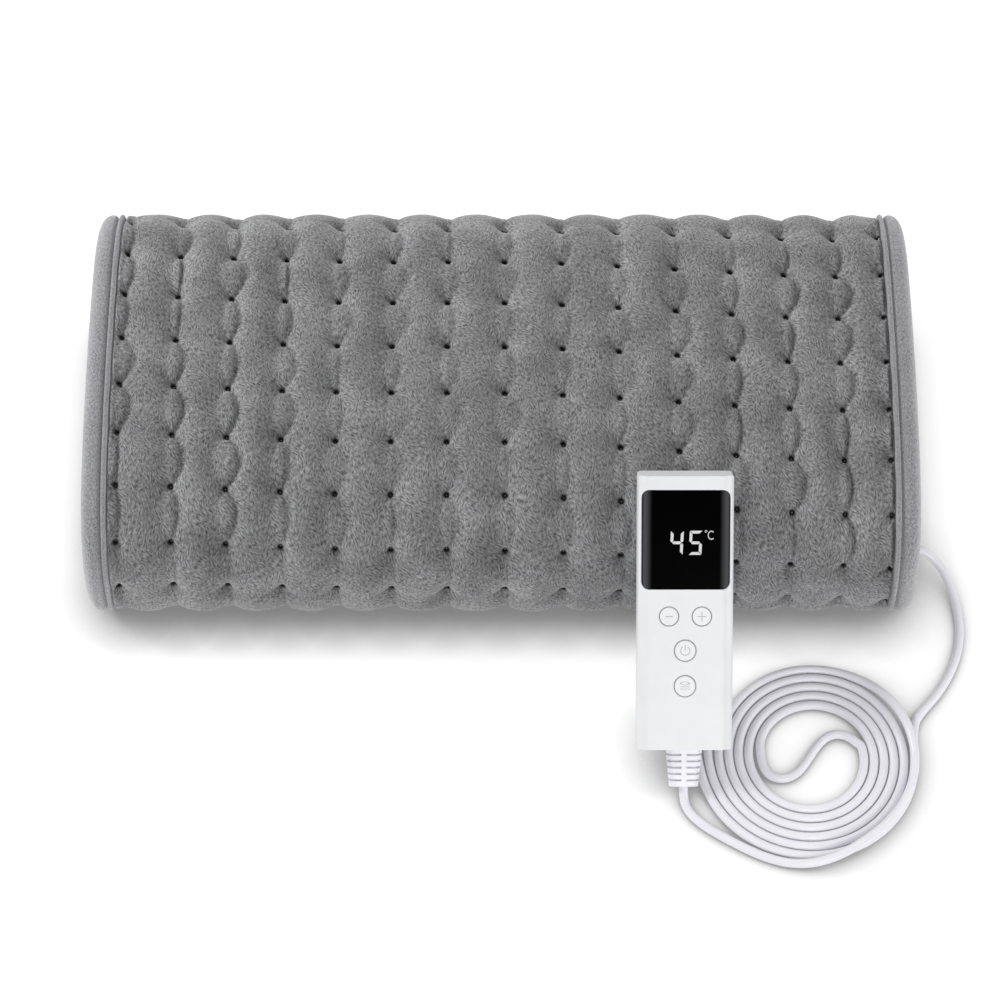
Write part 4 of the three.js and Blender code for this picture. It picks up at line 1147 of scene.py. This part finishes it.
def leadRoute():
    half = lead["turnSteps"] // 2
    lanes = lead["lanes"]
    first = [coilSpot(step, 0, True) for step in range(-8, lanes * half)]
    heart = sharedSpots(heartShares, lead["coilRadius"] - lead["lane"] * lanes)
    outwards = [coilSpot(step, 1, False) for step in range((lanes - 1) * half + 1, -half - 1, -1)]
    back = sharedSpots(turnBackShares, lead["coilRadius"])
    under = [coilSpot(step, 0, False) for step in range(-half, 1)]
    low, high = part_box("pad_gland")
    gland = (high.x / mm, (low.y + high.y) / 2 / mm - frameShift, (low.z + high.z) / 2 / mm)
    start = [gland, (gland[0] + lead["diameter"], gland[1], gland[2])]
    tip = Vector(lead["bootTip"])
    end = [tip - Vector((0, ahead, up)) * lead["diameter"], tip]
    coil = (first + heart + outwards + back + under)[::-1]
    route = start + padRoute + coil + handsetRoute[::-1] + end
    return [Vector((x, y + frameShift, z)) * mm for x, y, z in route]


def makeLead():
    points = leadRoute()
    curve = bpy.data.curves.new("lead", "CURVE")
    curve.dimensions = "3D"
    curve.bevel_depth = lead["diameter"] / 2 * mm
    curve.bevel_resolution = 5
    curve.resolution_u = 6
    curve.use_fill_caps = True
    spline = curve.splines.new("NURBS")
    spline.points.add(len(points) - 1)
    for point, place in zip(spline.points, points):
        point.co = (*place, 1)
    spline.order_u = 4
    spline.use_endpoint_u = True
    piece = bpy.data.objects.new("lead", curve)
    scene.collection.objects.link(piece)
    return piece, points[0]


leadPiece, leadExit = makeLead()
dress(leadPiece, leadWhite, ["lead_coil", "lead_to_pad", "lead_to_handset"])
print("lead made")

# floor, light and background
stage = {
    "floorSize": 8,
    "worldStrength": 0.5,
    "glowNear": 0.7,  # how much of the floor's white is its own, beside the object
    "glowFar": 0.85,
    "glowStrength": 1.22,
    "corner": 0.029,  # how far from the object its close shadow reaches
    "open": (0.42, 0.96),  # how open to the sky the floor is where that shadow is full and ends
    "shadow": 0.2,
    "footprint": (0.225, 0.17),  # half sizes of what stands on the floor
    "reach": 0.16,  # over which the floor goes from glowNear to glowFar
    "card": (0.9, 0.9, 0.9, 1),
}


def makeStage():
    bm = bmesh.new()
    bmesh.ops.create_grid(bm, x_segments=1, y_segments=1, size=stage["floorSize"] / 2)
    floor = meshPiece("floor", bm, smooth=False)
    material = bpy.data.materials.new("white card")
    material.use_nodes = True
    tree = material.node_tree
    tree.nodes.clear()
    place = addNode(tree, "TexCoord").outputs["Object"]
    mirrored = addNode(tree, "VectorMath", {"operation": "ABSOLUTE"}, {0: place})
    outside = addNode(tree, "VectorMath", {"operation": "SUBTRACT"}, {
        0: mirrored, 1: (*stage["footprint"], 0)})
    beyond = addNode(tree, "VectorMath", {"operation": "MAXIMUM"}, {0: outside, 1: (0, 0, 0)})
    away = addNode(tree, "VectorMath", {"operation": "LENGTH"}, {0: beyond}).outputs["Value"]
    own = addNode(tree, "MapRange", {"interpolation_type": "SMOOTHSTEP"}, {
        "Value": away, "From Max": stage["reach"],
        "To Min": stage["glowNear"], "To Max": stage["glowFar"]})
    card = addNode(tree, "BsdfDiffuse", None, {"Color": stage["card"]})
    sky = addNode(tree, "AmbientOcclusion", {"samples": 12}, {"Distance": stage["corner"]})
    full, ends = stage["open"]
    white = addNode(tree, "MapRange", None, {
        "Value": sky.outputs["AO"], "From Min": full, "From Max": ends,
        "To Min": stage["shadow"], "To Max": stage["glowStrength"]})
    glow = addNode(tree, "Emission", None, {"Color": (1, 1, 1, 1), "Strength": white})
    rays = addNode(tree, "LightPath")
    seen = addNode(tree, "Math", {"operation": "MAXIMUM"}, {
        0: rays.outputs["Is Camera Ray"], 1: rays.outputs["Is Glossy Ray"]})
    share = addNode(tree, "Math", {"operation": "MULTIPLY"}, {0: seen, 1: own})
    both = addNode(tree, "MixShader", None, {0: share, 1: card, 2: glow})
    addNode(tree, "OutputMaterial", None, {"Surface": both})
    paint(floor, material)

    world = bpy.data.worlds.new("studio")
    scene.world = world
    world.use_nodes = True
    tree = world.node_tree
    tree.nodes.clear()
    rays = addNode(tree, "LightPath")
    strength = addNode(tree, "MapRange", None, {
        "Value": rays.outputs["Is Camera Ray"], "To Min": stage["worldStrength"], "To Max": 1.0})
    sky = addNode(tree, "Background", None, {"Color": (1, 1, 1, 1), "Strength": strength})
    addNode(tree, "OutputWorld", None, {"Surface": sky})


lamps = [
    # name, place, aimed at, size in metres, watts
    ("key", (-1.3, 0.4, 1.1), (0, 0.02, 0), 0.5, 12),
    ("behind", (0.1, 1.3, 1.4), (0, 0.02, 0), 1.0, 4.5),
    ("front", (0.3, -1.6, 0.8), (0, 0, 0.03), 1.0, 8.5),
    ("right", (1.3, -0.3, 0.5), (0.1, 0, 0.05), 0.8, 3.5),
]


def makeLamps():
    for name, place, aim, size, watts in lamps:
        data = bpy.data.lights.new(name, "AREA")
        data.shape = "DISK"
        data.size = size
        data.energy = watts
        lamp = bpy.data.objects.new(name, data)
        scene.collection.objects.link(lamp)
        lamp.location = place
        lamp.rotation_euler = (Vector(aim) - Vector(place)).to_track_quat("-Z", "Y").to_euler()


makeStage()
makeLamps()
scene.view_settings.view_transform = "Standard"
print("stage set")
